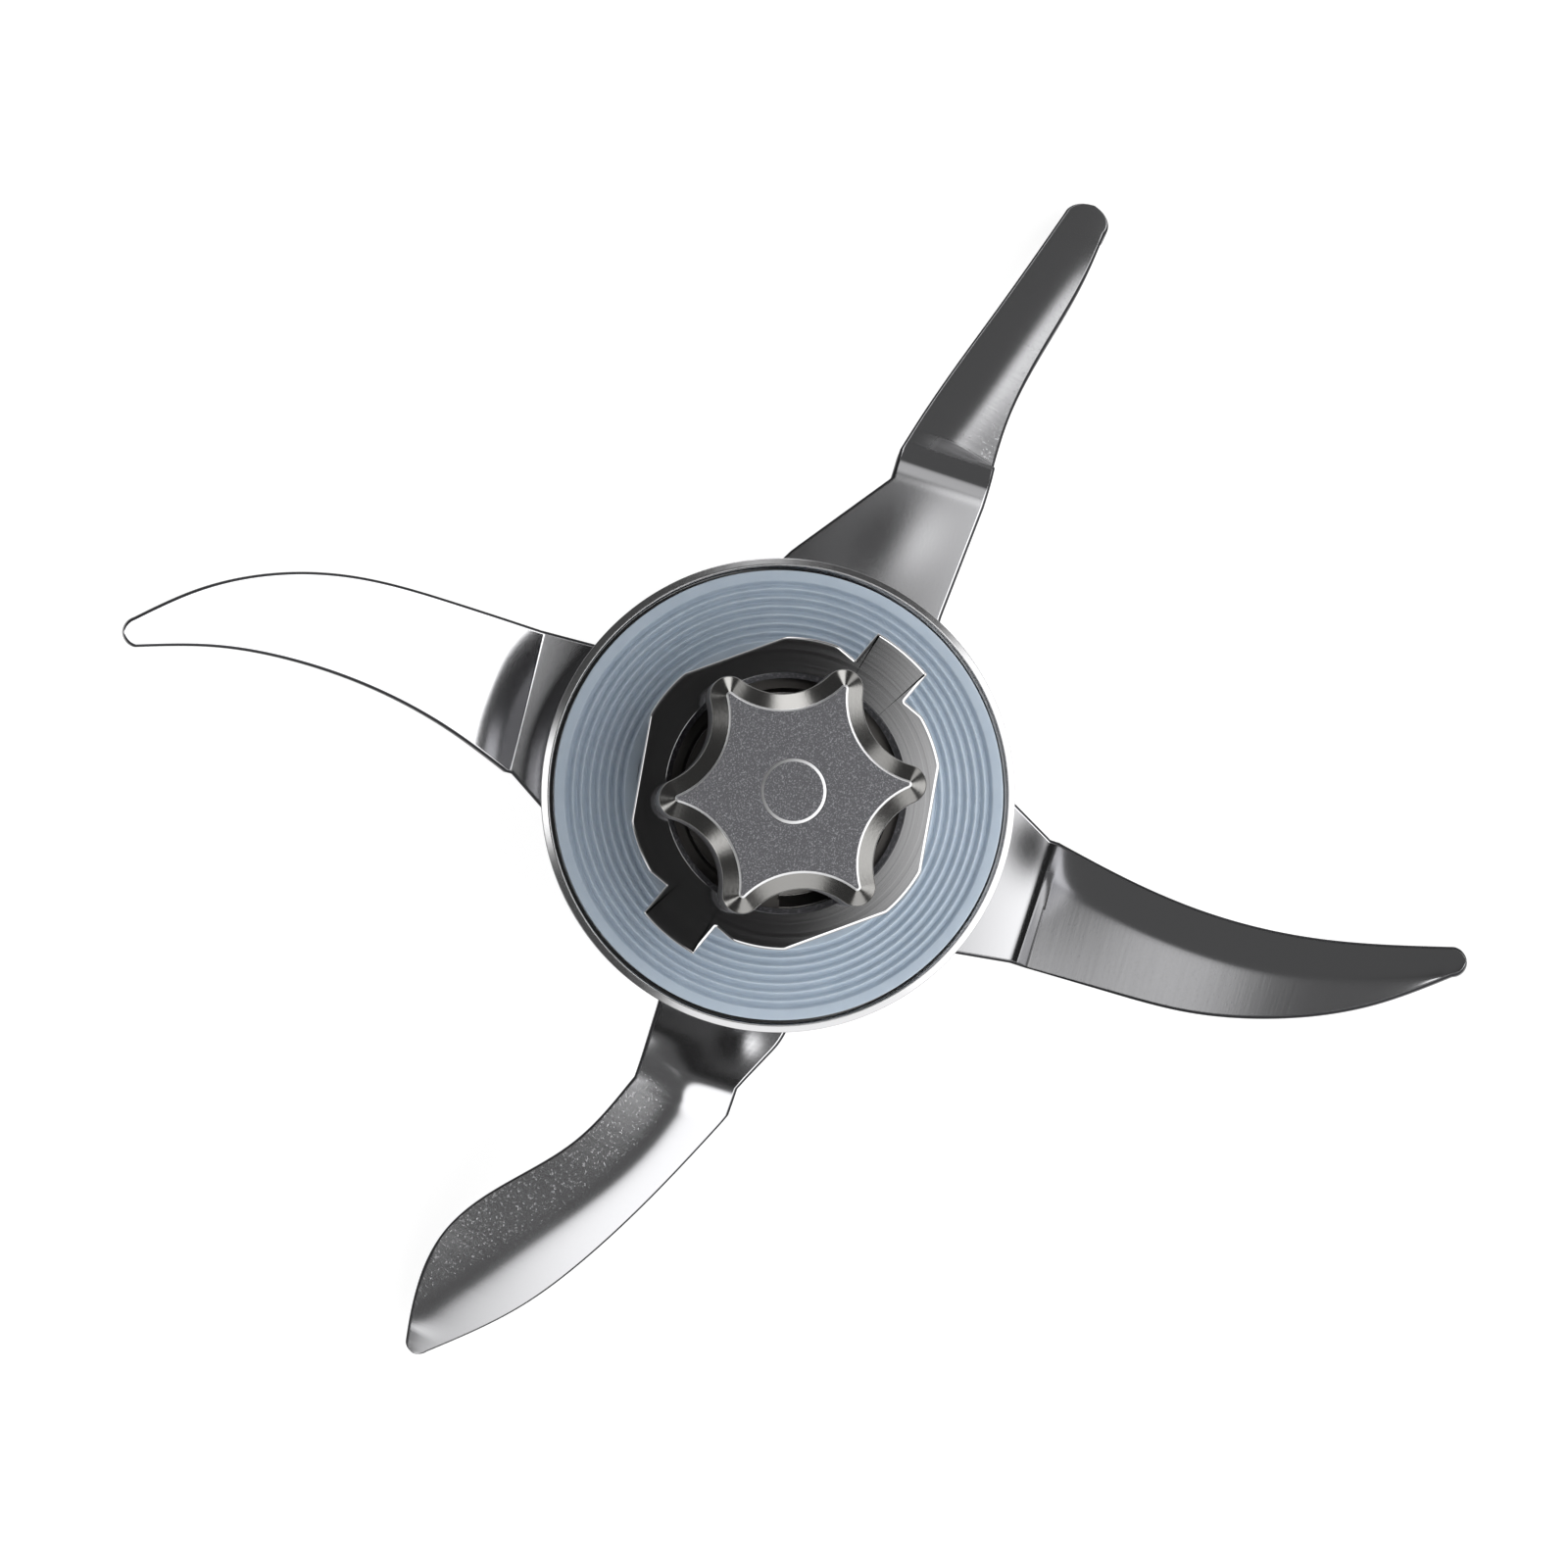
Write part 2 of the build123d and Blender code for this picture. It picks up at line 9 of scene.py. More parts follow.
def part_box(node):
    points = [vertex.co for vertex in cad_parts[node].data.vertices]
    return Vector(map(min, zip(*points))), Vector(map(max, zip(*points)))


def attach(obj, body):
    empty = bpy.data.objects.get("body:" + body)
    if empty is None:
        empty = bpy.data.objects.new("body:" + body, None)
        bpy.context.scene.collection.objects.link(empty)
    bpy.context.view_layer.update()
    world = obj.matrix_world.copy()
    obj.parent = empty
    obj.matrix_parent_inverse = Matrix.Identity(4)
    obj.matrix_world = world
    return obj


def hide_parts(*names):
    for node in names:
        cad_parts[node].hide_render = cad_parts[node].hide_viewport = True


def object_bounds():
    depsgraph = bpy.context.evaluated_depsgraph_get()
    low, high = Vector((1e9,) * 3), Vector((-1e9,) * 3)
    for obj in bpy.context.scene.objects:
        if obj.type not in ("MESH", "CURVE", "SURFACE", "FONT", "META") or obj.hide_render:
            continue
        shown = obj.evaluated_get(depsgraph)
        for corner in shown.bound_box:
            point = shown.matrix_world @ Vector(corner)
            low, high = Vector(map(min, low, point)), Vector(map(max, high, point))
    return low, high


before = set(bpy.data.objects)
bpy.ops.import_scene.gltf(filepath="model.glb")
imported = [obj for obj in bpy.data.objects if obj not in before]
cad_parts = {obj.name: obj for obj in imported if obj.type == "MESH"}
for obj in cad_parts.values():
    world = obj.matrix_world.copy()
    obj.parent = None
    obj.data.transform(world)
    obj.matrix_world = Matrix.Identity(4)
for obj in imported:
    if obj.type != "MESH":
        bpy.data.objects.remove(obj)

cad_low, cad_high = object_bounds()

# Units and places taken from the solids, in millimetres; +Z runs along the shaft to the drive star
MM = 0.001


def reach(node):
    """Lowest and highest corner of a node's box, in millimetres."""
    low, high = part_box(node)
    return np.array(low) / MM, np.array(high) / MM


housing_low, housing_high = reach("bearing_housing")
seal_low, seal_high = reach("sealing_ring")
star_low, star_high = reach("drive_star")
shaft_low = reach("drive_shaft")[0]
pad_low, pad_high = reach("blade_washer")
nut_low, nut_high = reach("cap_nut")
circlip_low, circlip_high = reach("bearing_circlip")
bearing_low = reach("blade_bearing_outer_race")[0]
lip_high = reach("shaft_seal_case")[1]

# Meshes: points round each corner, turn and hole, how far beside an edge its holding point lies, and what
# counts as a sharp edge, as one point or as nothing
CORNER_STEPS = 6
ROUND_STEPS = 144
SEAL_STEPS = 240
NUT_STEPS = 216
HOLE_STEPS = 96
EDGE_HOLD = 0.04
SHARP_ANGLE = 35.0
MERGE_DISTANCE = 0.0005
LEAST_SINE = 1e-3
TINY = 1e-9

# Housing
RIM_RADIUS = housing_high[0]
RIM_LIP = 0.65
RIM_DROP = 0.3
RIM_HEIGHT = 3.4
RIM_SLANT = 0.5
RIM_SLANT_DROP = 0.27
RIM_EDGE = 0.06
RIM_FOOT_EDGE = 0.15
CHANNEL_EDGE = 0.04
NECK_END = housing_high[2]
NECK_RADIUS = 12.0
BORE_RADIUS = 9.5
BORE_CHAMFER = 0.45
BORE_EDGE = 0.06
GROOVE_RADIUS = 10.0
GROOVE_EDGE = 0.03
SEAT_EDGE = 0.05
SHOULDER_RADIUS = 7.6
POCKET_RADIUS = 8.5
POCKET_EDGE = 0.1
BELL_END = housing_low[2]
BELL_RADIUS = 11.4
BELL_SHOULDER = 1.6
BELL_ROUND = 2.5
BELL_EDGE = 0.2
FLANGE_WALL = 2.0
PLATE_HEIGHT = 4.4
PLATE_RADIUS = 12.95
PLATE_FLATS = 12.15
PLATE_EDGE = 0.22
PLATE_FOOT_EDGE = 0.1
PLATE_BLEND = 0.02
LUG_RADIUS = 15.3
LUG_WIDTH = 5.35
LUG_BLEND = 0.07
LUG_FOOT_BLEND = 0.04
LUG_SIDE = (9.2, 12.8)
PLATE_STEPS = (12, 44, 80)

# Sealing ring
SEAL_RADIUS = seal_high[0]
SEAL_FLOOR = seal_low[2]
SEAL_INNER = 12.05
SEAL_LAND = 0.85
SEAL_EDGE = 0.1
RIDGE_COUNT = 7
RIDGE_PITCH = 0.73
RIDGE_DEPTH = 0.42
RIDGE_STEPS = 150

# Drive star
STAR_END = star_high[2]
STAR_FOOT = star_low[2]
STAR_HEIGHT = 9.2
STAR_TIP = 10.85
STAR_VALLEY = 7.9
STAR_TIP_ROUND = 1.6
STAR_LOBES = 6
STAR_ANGLE = 13.6
STAR_BEVEL_WIDTH = 1.4
STAR_BEVEL_DEPTH = 1.1
STAR_EDGE = 0.3
STAR_SIDE_EDGE = 0.2
STAR_FOOT_EDGE = 0.1
STAR_BOSS = 5.3
STAR_BORE = 2.67
STAR_BORE_EDGE = 0.03
STAR_STEPS = 22

# Shaft
STUB_RADIUS = 2.65
STUB_CHAMFER = 0.25
STUB_CHAMFER_DROP = 0.0625
STUB_EDGE = 0.01
SEAT_RADIUS = 4.0
COLLAR_RADIUS = 5.0
COLLAR_EDGE = 0.1
FLANGE_RADIUS = 9.6
FLANGE_THICKNESS = 4.0
FLANGE_ROUND = 1.2
FLANGE_EDGE = 0.15
SPIGOT_FLATS = 6.6
SPIGOT_EDGE = 0.005
THREAD_RADIUS = 3.9
THREAD_EDGE = 0.2
SHAFT_SHOULDER = bearing_low[2]

# Blades
SHEET = 2.0
CUTTING_EDGE = 0.35
BEND_RADIUS = 3.0
HUB_RADIUS = 11.0
ROOT_ROUND = 6.0
EDGE_ROUND = 0.28
UPPER_FACE = pad_high[2] + SHEET
LOWER_FACE = UPPER_FACE + SHEET
HOLE_RADIUS = 4.05
HOLE_FLATS = 6.7

# Washer and nut
WASHER_GAP = 0.05
WASHER_EDGE = 0.12
NUT_FLATS = 13.0
NUT_HEX_HEIGHT = 5.0
NUT_CHAMFER = 0.75
NUT_BORE = 3.92
NUT_BORE_CHAMFER = 0.3
DOME_STEPS = 16
SIDE_STEPS = 12
CHAMFER_STEPS = 10

# Camera and lighting; directions are as in the picture, anticlockwise from its right side
PHOTO_TURN = 50.0
CAMERA_PLACE = (-26.4, -6.9, 450.0)
CAMERA_TARGET = (0.40, 0.93, 0.0)
CAMERA_LENS = 122.95
CAMERA_SENSOR = 36.0
CAMERA_NEAR = 10.0
ROOM_EDGE = (0.95, 0.992)
ROOM_LEVEL = (0.1, 0.02)
HORIZON_EDGE = (0.0, 0.08)
HORIZON_LEVEL = 0.95
HORIZON_SHEEN = 0.6
BACKDROP_LEVEL = 1.0
SOFT_BOXES = (
    dict(azimuth=354.0, zenith=45.0, spread=39.45, edge=2.1, level=2.4),
    dict(azimuth=285.0, zenith=52.0, spread=33.2, edge=2.5, level=1.65),
    dict(azimuth=177.0, zenith=58.0, spread=12.0, edge=4.0, level=2.6),
    dict(azimuth=72.0, zenith=33.0, spread=12.0, edge=6.0, level=0.6),
    dict(azimuth=210.5, zenith=32.2, spread=3.75, edge=2.25, level=0.8),
    dict(azimuth=92.0, zenith=75.0, spread=12.0, edge=4.0, level=3.2),
    dict(azimuth=48.0, zenith=86.0, spread=10.0, edge=4.0, level=1.6),
    dict(azimuth=213.0, zenith=82.0, spread=9.0, edge=4.0, level=3.2),
)
FLOOR_RADIUS = 4000.0
FLOOR_GAP = 0.5
FLOOR_STEPS = 96
FLOOR_GLOW = 0.8
FLOOR_SHEEN = 0.3


def rounded(corners, hold=EDGE_HOLD):
    """A closed section with rounded corners. Each corner is (across, height, rounding): a circle of that
    rounding touches both sides, and the points turn from one touching normal to the other in even steps.
    A holding point just before and after each arc keeps the flats' shading flat."""
    corners = np.asarray(corners, float)
    place, rounding = corners[:, :2], corners[:, 2:]
    back = np.roll(place, 1, axis=0) - place
    onward = np.roll(place, -1, axis=0) - place
    back /= np.linalg.norm(back, axis=1, keepdims=True)
    onward /= np.linalg.norm(onward, axis=1, keepdims=True)
    half = np.arccos(np.clip((back * onward).sum(axis=1, keepdims=True), -1, 1)) / 2
    inward = back + onward
    inward /= np.linalg.norm(inward, axis=1, keepdims=True)
    centre = place + inward * rounding / np.sin(half)
    start = place + back * rounding / np.tan(half)
    end = place + onward * rounding / np.tan(half)
    share = np.linspace(0, 1, CORNER_STEPS)
    turn = math.pi - 2 * half
    first = np.sin((1 - share) * turn) / np.sin(turn)
    last = np.sin(share * turn) / np.sin(turn)
    arc = centre[:, None] + first[..., None] * (start - centre)[:, None]
    arc += last[..., None] * (end - centre)[:, None]
    points = np.concatenate([(start + hold * back)[:, None], arc, (end + hold * onward)[:, None]], axis=1)
    return points.reshape(-1, 2)


def around(steps):
    """Even angles round a full turn."""
    return np.linspace(0, 2 * math.pi, steps, endpoint=False)


def turned(section, angles):
    """A section of (radius, height) carried round the Z axis: x = r cos a, y = r sin a, z = height."""
    radius, height = section[:, :1], section[:, 1:]
    return np.stack(np.broadcast_arrays(radius * np.cos(angles), radius * np.sin(angles), height), axis=-1)


def carried(section, outline, outward, nominal, from_radius, from_height):
    """A section carried round an outline that isn't a circle. Points of the section beyond from_radius and
    above from_height lie on the outline, moved inwards by how far they are inside the nominal radius; the
    rest lie on circles, at the angle of the outline's point."""
    angles = np.arctan2(outline[:, 1], outline[:, 0])
    ring = turned(section, angles)
    inset = (nominal - section[:, 0])[:, None, None]
    moved = outline[None] - inset * outward[None]
    on_outline = (section[:, 0] > from_radius) & (section[:, 1] > from_height)
    ring[..., :2] = np.where(on_outline[:, None, None], moved, ring[..., :2])
    return ring


def flat_radius(width, angles):
    """How far two flats, a width apart, lie from the axis at each angle: half width / sin, or very far."""
    return width / 2 / np.maximum(np.abs(np.sin(angles)), LEAST_SINE)


def soft_min(first, second, blend):
    """The smaller of two values with the corner between them rounded: -k log(exp(-a/k) + exp(-b/k))."""
    return -blend * np.logaddexp(-first / blend, -second / blend)


def put_piece(name, grid, body, node, finishes, bands=None, wrap=(True, True), trait=None):
    """A mesh of quads between neighbours on a grid of points. wrap closes rows and columns on themselves,
    bands gives each row of quads its finish, and trait is a vector kept at each point. Points that
    coincide are merged, so poles and seams are closed."""
    rows, columns = grid.shape[:2]
    index = np.arange(rows * columns).reshape(rows, columns)
    if wrap[0]:
        index = np.vstack([index, index[:1]])
    if wrap[1]:
        index = np.hstack([index, index[:, :1]])
    quads = np.stack([index[:-1, :-1], index[:-1, 1:], index[1:, 1:], index[1:, :-1]], axis=-1)
    mesh = bpy.data.meshes.new(name)
    mesh.from_pydata((grid.reshape(-1, 3) * MM).tolist(), [], quads.reshape(-1, 4).tolist())
    if bands is not None:
        finish = np.repeat(np.asarray(bands)[: quads.shape[0], None], quads.shape[1], axis=1)
        mesh.polygons.foreach_set("material_index", finish.ravel().astype(np.int32))
    if trait is not None:
        kept = mesh.attributes.new("wing", "FLOAT_VECTOR", "POINT")
        kept.data.foreach_set("vector", trait.reshape(-1).astype(np.float32))
    for finish in finishes:
        mesh.materials.append(finish)
    work = bmesh.new()
    work.from_mesh(mesh)
    bmesh.ops.remove_doubles(work, verts=work.verts, dist=MERGE_DISTANCE * MM)
    bmesh.ops.recalc_face_normals(work, faces=work.faces)
    work.to_mesh(mesh)
    work.free()
    mesh.polygons.foreach_set("use_smooth", np.ones(len(mesh.polygons), bool))
    mesh.set_sharp_from_angle(angle=math.radians(SHARP_ANGLE))
    made = bpy.data.objects.new(name, mesh)
    bpy.context.scene.collection.objects.link(made)
    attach(made, body)
    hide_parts(node)
    return made


# Materials


def linear(hex_colour):
    """An sRGB hex colour as linear red, green, blue and alpha."""
    value = np.array([int(hex_colour[i : i + 2], 16) for i in (1, 3, 5)]) / 255
    value = np.where(value <= 0.04045, value / 12.92, ((value + 0.055) / 1.055) ** 2.4)
    return (*value, 1.0)


def add(tree, kind, inputs=None, **settings):
    """Adds one node with its settings; inputs gives a socket a value, or another node's output to follow."""
    made = tree.nodes.new("ShaderNode" + kind)
    for setting, value in settings.items():
        setattr(made, setting, value)
    for socket, value in (inputs or {}).items():
        if isinstance(value, bpy.types.NodeSocket):
            tree.links.new(value, made.inputs[socket])
        else:
            made.inputs[socket].default_value = value
    return made


def new_material(name, **sockets):
    """A material with one shader, whose constant sockets are set directly."""
    made = bpy.data.materials.new(name)
    made.use_nodes = True
    shader = made.node_tree.nodes["Principled BSDF"]
    for socket, value in sockets.items():
        shader.inputs[socket.replace("_", " ")].default_value = value
    return made, made.node_tree, shader


def grain(tree, size_mm, detail=2.0):
    """Noise on Object coordinates with features of a real size."""
    place = add(tree, "TexCoord").outputs["Object"]
    inputs = {"Vector": place, "Scale": 1 / (size_mm * MM), "Detail": detail}
    return add(tree, "TexNoise", inputs).outputs["Fac"]


def surface(tree, shader, pattern, colours=None, rough=None, depth=None):
    """Gives a surface what a 0 to 1 pattern says: a colour between two hex colours, a roughness between two
    levels, and relief of a real depth in millimetres."""
    if colours:
        ends = {"Factor": pattern, "A": linear(colours[0]), "B": linear(colours[1])}
        blend = add(tree, "Mix", ends, data_type="RGBA")
        tree.links.new(blend.outputs["Result"], shader.inputs["Base Color"])
    if rough:
        level = add(tree, "MapRange", {"Value": pattern, "To Min": rough[0], "To Max": rough[1]})
        tree.links.new(level.outputs["Result"], shader.inputs["Roughness"])
    if depth:
        relief = add(tree, "Bump", {"Height": pattern, "Distance": depth * MM, "Strength": 1.0})
        tree.links.new(relief.outputs["Normal"], shader.inputs["Normal"])


RING_WIDTH = 0.35


def turned_stainless():
    """Turned and polished stainless steel: mirror-like, with fine rings left by the tool round the axis.
    They are drawn coarser than real ones, so that they show."""
    colour = linear("#cccccd")
    made, tree, shader = new_material("stainless_turned_polished", Base_Color=colour, Metallic=1.0)
    place = add(tree, "TexCoord").outputs["Object"]
    flat = add(tree, "VectorMath", {0: place, 1: (1, 1, 0)}, operation="MULTIPLY").outputs["Vector"]
    radius = add(tree, "VectorMath", {0: flat}, operation="LENGTH").outputs["Value"]
    ring = add(tree, "Math", {0: radius, 1: 1 / (RING_WIDTH * MM)}, operation="MULTIPLY").outputs["Value"]
    inputs = {"W": ring, "Scale": 1.0, "Detail": 2.0}
    marks = add(tree, "TexNoise", inputs, noise_dimensions="1D").outputs["Fac"]
    surface(tree, shader, marks, rough=(0.03, 0.07), depth=0.0003)
    return made


def clear_silicone():
    """Moulded silicone rubber: pale blue-grey, a little see-through, with a soft sheen."""
    made, tree, shader = new_material(
        "silicone_moulded", Metallic=0.0, IOR=1.41, Subsurface_Weight=0.25, Subsurface_Scale=0.003
    )
    shader.inputs["Subsurface Radius"].default_value = (0.6, 0.7, 0.8)
    surface(tree, shader, grain(tree, 1.5), colours=("#a2afbd", "#aebac6"))
    surface(tree, shader, grain(tree, 0.35), rough=(0.28, 0.4))
    return made


def blasted_steel():
    """Bead-blasted sintered steel: dark grey and dull, with a fine pale sparkle from its grains."""
    made, tree, shader = new_material("steel_sintered_blasted", Metallic=1.0)
    speck = grain(tree, 0.12, 3.0)
    spark = add(tree, "MapRange", {"Value": speck, "From Min": 0.52, "From Max": 0.74}).outputs["Result"]
    surface(tree, shader, spark, colours=("#606063", "#9a9a9e"))
    surface(tree, shader, speck, rough=(0.36, 0.5), depth=0.01)
    return made


GRIND_DEPTH = 0.0035
TICK_SIZE = (0.35, 6.0)
MILL_GRAIN = 0.22
MILL_SHARE = 0.05
SPARK_GRAIN = 0.25
SPARK_SHARE = 2.8
CUT_ROUGHNESS = 0.45


def blade_steel():
    """Rolled stainless sheet with a ground bevel and dull cut edges, drawn dark grey. The sheet is bright
    with a fine mill grain, and the bevel shows the grinding wheel's marks, which run across the cutting edge,
    and some sparkle. Grain and marks are drawn coarser than real ones, so that they show. The edges' dark
    grey is partly painted shade, which draws dark outlines round the wings, and the step at the bevel's start
    is painted shade."""
    made, tree, shader = new_material("stainless_sheet_rolled_and_ground", Metallic=1.0)
    wing = add(tree, "Attribute", attribute_name="wing").outputs["Vector"]
    kind = add(tree, "SeparateXYZ", {"Vector": wing}).outputs["Z"]
    ground = add(tree, "Clamp", {"Value": kind}).outputs[0]
    cut = add(tree, "MapRange", {"Value": kind, "From Min": 0.0, "From Max": -1.0}).outputs["Result"]
    per_tick = (1 / TICK_SIZE[0], 1 / TICK_SIZE[1], 0)
    stretch = add(tree, "VectorMath", {0: wing, 1: per_tick}, operation="MULTIPLY").outputs["Vector"]
    ticks = add(tree, "TexNoise", {"Vector": stretch, "Scale": 1.0, "Detail": 2.0}).outputs["Fac"]
    mill = grain(tree, MILL_GRAIN)
    bright = {"Value": grain(tree, SPARK_GRAIN, 3.0), "From Min": 0.6, "From Max": 0.72}
    speck = add(tree, "MapRange", bright).outputs["Result"]
    growing = {"Value": ground, "From Min": 0.2, "To Max": SPARK_SHARE}
    coarse = add(tree, "MapRange", growing).outputs["Result"]
    spark = add(tree, "Math", {0: speck, 1: coarse}, operation="MULTIPLY").outputs["Value"]
    wheel = add(tree, "Math", {0: ticks, 1: spark}).outputs["Value"]
    faint = add(tree, "Math", {0: mill, 1: MILL_SHARE}, operation="MULTIPLY").outputs["Value"]
    height = add(tree, "Mix", {"Factor": ground, "A": faint, "B": wheel}).outputs["Result"]
    rolled = add(tree, "MapRange", {"Value": mill, "To Min": 0.07, "To Max": 0.1}).outputs["Result"]
    marked = add(tree, "MapRange", {"Value": ticks, "To Min": 0.2, "To Max": 0.28}).outputs["Result"]
    level = add(tree, "Mix", {"Factor": ground, "A": rolled, "B": marked}).outputs["Result"]
    level = add(tree, "Mix", {"Factor": cut, "A": level, "B": CUT_ROUGHNESS}).outputs["Result"]
    tree.links.new(level, shader.inputs["Roughness"])
    # Dark grey where the finish is below 0: the cut edges, partly as painted shade, and the bevel's start
    # step, as painted shade
    surface(tree, shader, cut, colours=("#cfcfd1", "#3c3c3e"))
    surface(tree, shader, height, depth=GRIND_DEPTH)
    return made


def plain_metal(name, colour, rough, grain_mm, depth=None):
    """A metal of one colour. Its roughness, and any relief, vary over grains of a real size."""
    made, tree, shader = new_material(name, Base_Color=linear(colour), Metallic=1.0)
    surface(tree, shader, grain(tree, grain_mm), rough=rough, depth=depth)
    return made


def plain_polymer(name, colours, rough):
    """A hidden plastic or rubber piece: a mottled colour and a dull surface."""
    made, tree, shader = new_material(name, Metallic=0.0, IOR=1.5)
    surface(tree, shader, grain(tree, 0.6), colours, rough)
    return made


stainless = turned_stainless()

# The bell's outside: duller than the neck, and drawn darker as painted shade: the shade under the housing,
# which the wings reflect
satin_and_shade = plain_metal("stainless_turned_satin_and_shade", "#929295", (0.2, 0.3), 0.3, 0.002)

# The rim's brushed edge: bright, with blurred reflections
rim_steel = plain_metal("stainless_brushed_rim", "#bcbcbd", (0.16, 0.22), 0.6)

silicone = clear_silicone()
blasted = blasted_steel()

# The star's machined bevel: brighter and smoother than its blasted faces
bevelled = plain_metal("steel_machined_bevel", "#848381", (0.14, 0.2), 0.3, 0.003)

sheet_steel = blade_steel()

# Centreless-ground steel of the shaft, nut and washer: bright, with a fine grain
shaft_steel = plain_metal("steel_ground_bright", "#c4c4c5", (0.2, 0.3), 0.3, 0.004)

# Machined edges of the star and the shaft's end: a pale, dull line, partly the machined edge and partly a
# painted highlight along it
edge_steel_and_highlight = plain_metal("steel_machined_edge_and_highlight", "#cacacb", (0.36, 0.46), 0.3)

# Phosphated springs and circlip: dark and dull
spring_steel = plain_metal("spring_steel_phosphated", "#4c4a48", (0.35, 0.5), 0.4)

# Lapped races, balls and spacers: bright and smooth
race_steel = plain_metal("bearing_steel_lapped", "#bdbbb8", (0.1, 0.18), 0.5)

# Pressed shields and seal case: grey, with a soft sheen
pressed_steel = plain_metal("steel_pressed", "#8f8d8a", (0.28, 0.4), 0.5)

# Moulded cages, cream, and the seal's moulded lip, black: both dull
cage_plastic = plain_polymer("polyamide_moulded", ("#cbc3ad", "#d6cfbb"), (0.45, 0.6))
lip_rubber = plain_polymer("nitrile_rubber_moulded", ("#191919", "#242424"), (0.5, 0.65))

for node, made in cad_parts.items():
    if node in ("bearing_circlip", "preload_washer", "shaft_seal_spring"):
        finish = spring_steel
    elif "cage" in node:
        finish = cage_plastic
    elif node == "shaft_seal_lip":
        finish = lip_rubber
    elif "shield" in node or node == "shaft_seal_case":
        finish = pressed_steel
    else:
        finish = race_steel
    made.data.materials.clear()
    made.data.materials.append(finish)


# Housing


def plate_angles():
    """Angles round the plate for one quarter and its mirror images, close together at the lugs' sides, which
    lie between the two angles of LUG_SIDE, in degrees."""
    quarter = np.concatenate(
        [
            np.linspace(0, LUG_SIDE[0], PLATE_STEPS[0], endpoint=False),
            np.linspace(*LUG_SIDE, PLATE_STEPS[1], endpoint=False),
            np.linspace(LUG_SIDE[1], 90, PLATE_STEPS[2]),
        ]
    )
    half = np.concatenate([quarter, 180 - quarter[-2:0:-1]])
    return np.radians(np.concatenate([half, half + 180]))


def plate_outline(angles):
    """The bayonet plate's edge and outward normals: a circle cut by six flats, r = min(R, apothem / cos),
    or the lug where that reaches further, r = min(lug radius, half width / sin). The lugs hide two flats."""
    to_flat = (angles + math.pi / 6) % (math.pi / 3) - math.pi / 6
    disc = soft_min(PLATE_RADIUS, PLATE_FLATS / np.cos(to_flat), PLATE_BLEND)
    lug = soft_min(LUG_RADIUS, flat_radius(LUG_WIDTH, angles), LUG_BLEND)
    radius = -soft_min(-disc, -lug, LUG_FOOT_BLEND)
    outline = radius[:, None] * np.stack([np.cos(angles), np.sin(angles)], axis=1)
    along = np.roll(outline, -1, axis=0) - np.roll(outline, 1, axis=0)
    along /= np.linalg.norm(along, axis=1, keepdims=True)
    return outline, np.stack([along[:, 1], -along[:, 0]], axis=1)


def bearing_housing():
    """The turned housing's section, carried round the axis and, at the plate, round the bayonet outline."""
    channel = RIM_RADIUS - RIM_LIP
    plate_foot = NECK_END - PLATE_HEIGHT
    section = rounded(
        [
            (BORE_RADIUS + BORE_CHAMFER, NECK_END, BORE_EDGE),
            (BORE_RADIUS, NECK_END - BORE_CHAMFER, BORE_EDGE),
            (BORE_RADIUS, circlip_high[2], GROOVE_EDGE),
            (GROOVE_RADIUS, circlip_high[2], GROOVE_EDGE),
            (GROOVE_RADIUS, circlip_low[2], GROOVE_EDGE),
            (BORE_RADIUS, circlip_low[2], GROOVE_EDGE),
            (BORE_RADIUS, bearing_low[2], SEAT_EDGE),
            (SHOULDER_RADIUS, bearing_low[2], SEAT_EDGE),
            (SHOULDER_RADIUS, lip_high[2], SEAT_EDGE),
            (POCKET_RADIUS, lip_high[2], SEAT_EDGE),
            (POCKET_RADIUS, BELL_END, POCKET_EDGE),
            (BELL_RADIUS, BELL_END, BELL_EDGE),
            (BELL_RADIUS + BELL_SHOULDER, BELL_END + BELL_SHOULDER, BELL_ROUND),
            (channel, SEAL_FLOOR - FLANGE_WALL, BELL_ROUND),
            (RIM_RADIUS, -RIM_DROP - RIM_HEIGHT, RIM_FOOT_EDGE),
            (RIM_RADIUS, -RIM_DROP - RIM_SLANT_DROP, RIM_EDGE),
            (RIM_RADIUS - RIM_SLANT, -RIM_DROP, RIM_EDGE),
            (channel, -RIM_DROP, CHANNEL_EDGE),
            (channel, SEAL_FLOOR, SEAT_EDGE),
            (NECK_RADIUS, SEAL_FLOOR, SEAT_EDGE),
            (NECK_RADIUS, plate_foot, SEAT_EDGE),
            (PLATE_RADIUS, plate_foot, PLATE_FOOT_EDGE),
            (PLATE_RADIUS, NECK_END, PLATE_EDGE),
        ]
    )
    outline, outward = plate_outline(plate_angles())
    from_radius = NECK_RADIUS + (PLATE_RADIUS - NECK_RADIUS) / 3
    grid = carried(section, outline, outward, PLATE_RADIUS, from_radius, plate_foot - RIM_LIP)
    radius, height = section.T
    outside = (height < SEAL_FLOOR - POCKET_EDGE) | (radius > channel + POCKET_EDGE)
    # The bell's rows take the duller steel drawn darker as painted shade
    on_bell = outside & (height < -RIM_DROP - RIM_LIP) & (radius > POCKET_RADIUS)
    on_rim = (height > -RIM_DROP - RIM_LIP) & (height < RIM_DROP) & (radius > channel)
    put_piece(
        "bearing_housing_turned", grid, "housing", "bearing_housing",
        [stainless, satin_and_shade, rim_steel], np.where(on_rim, 2, on_bell),
    )


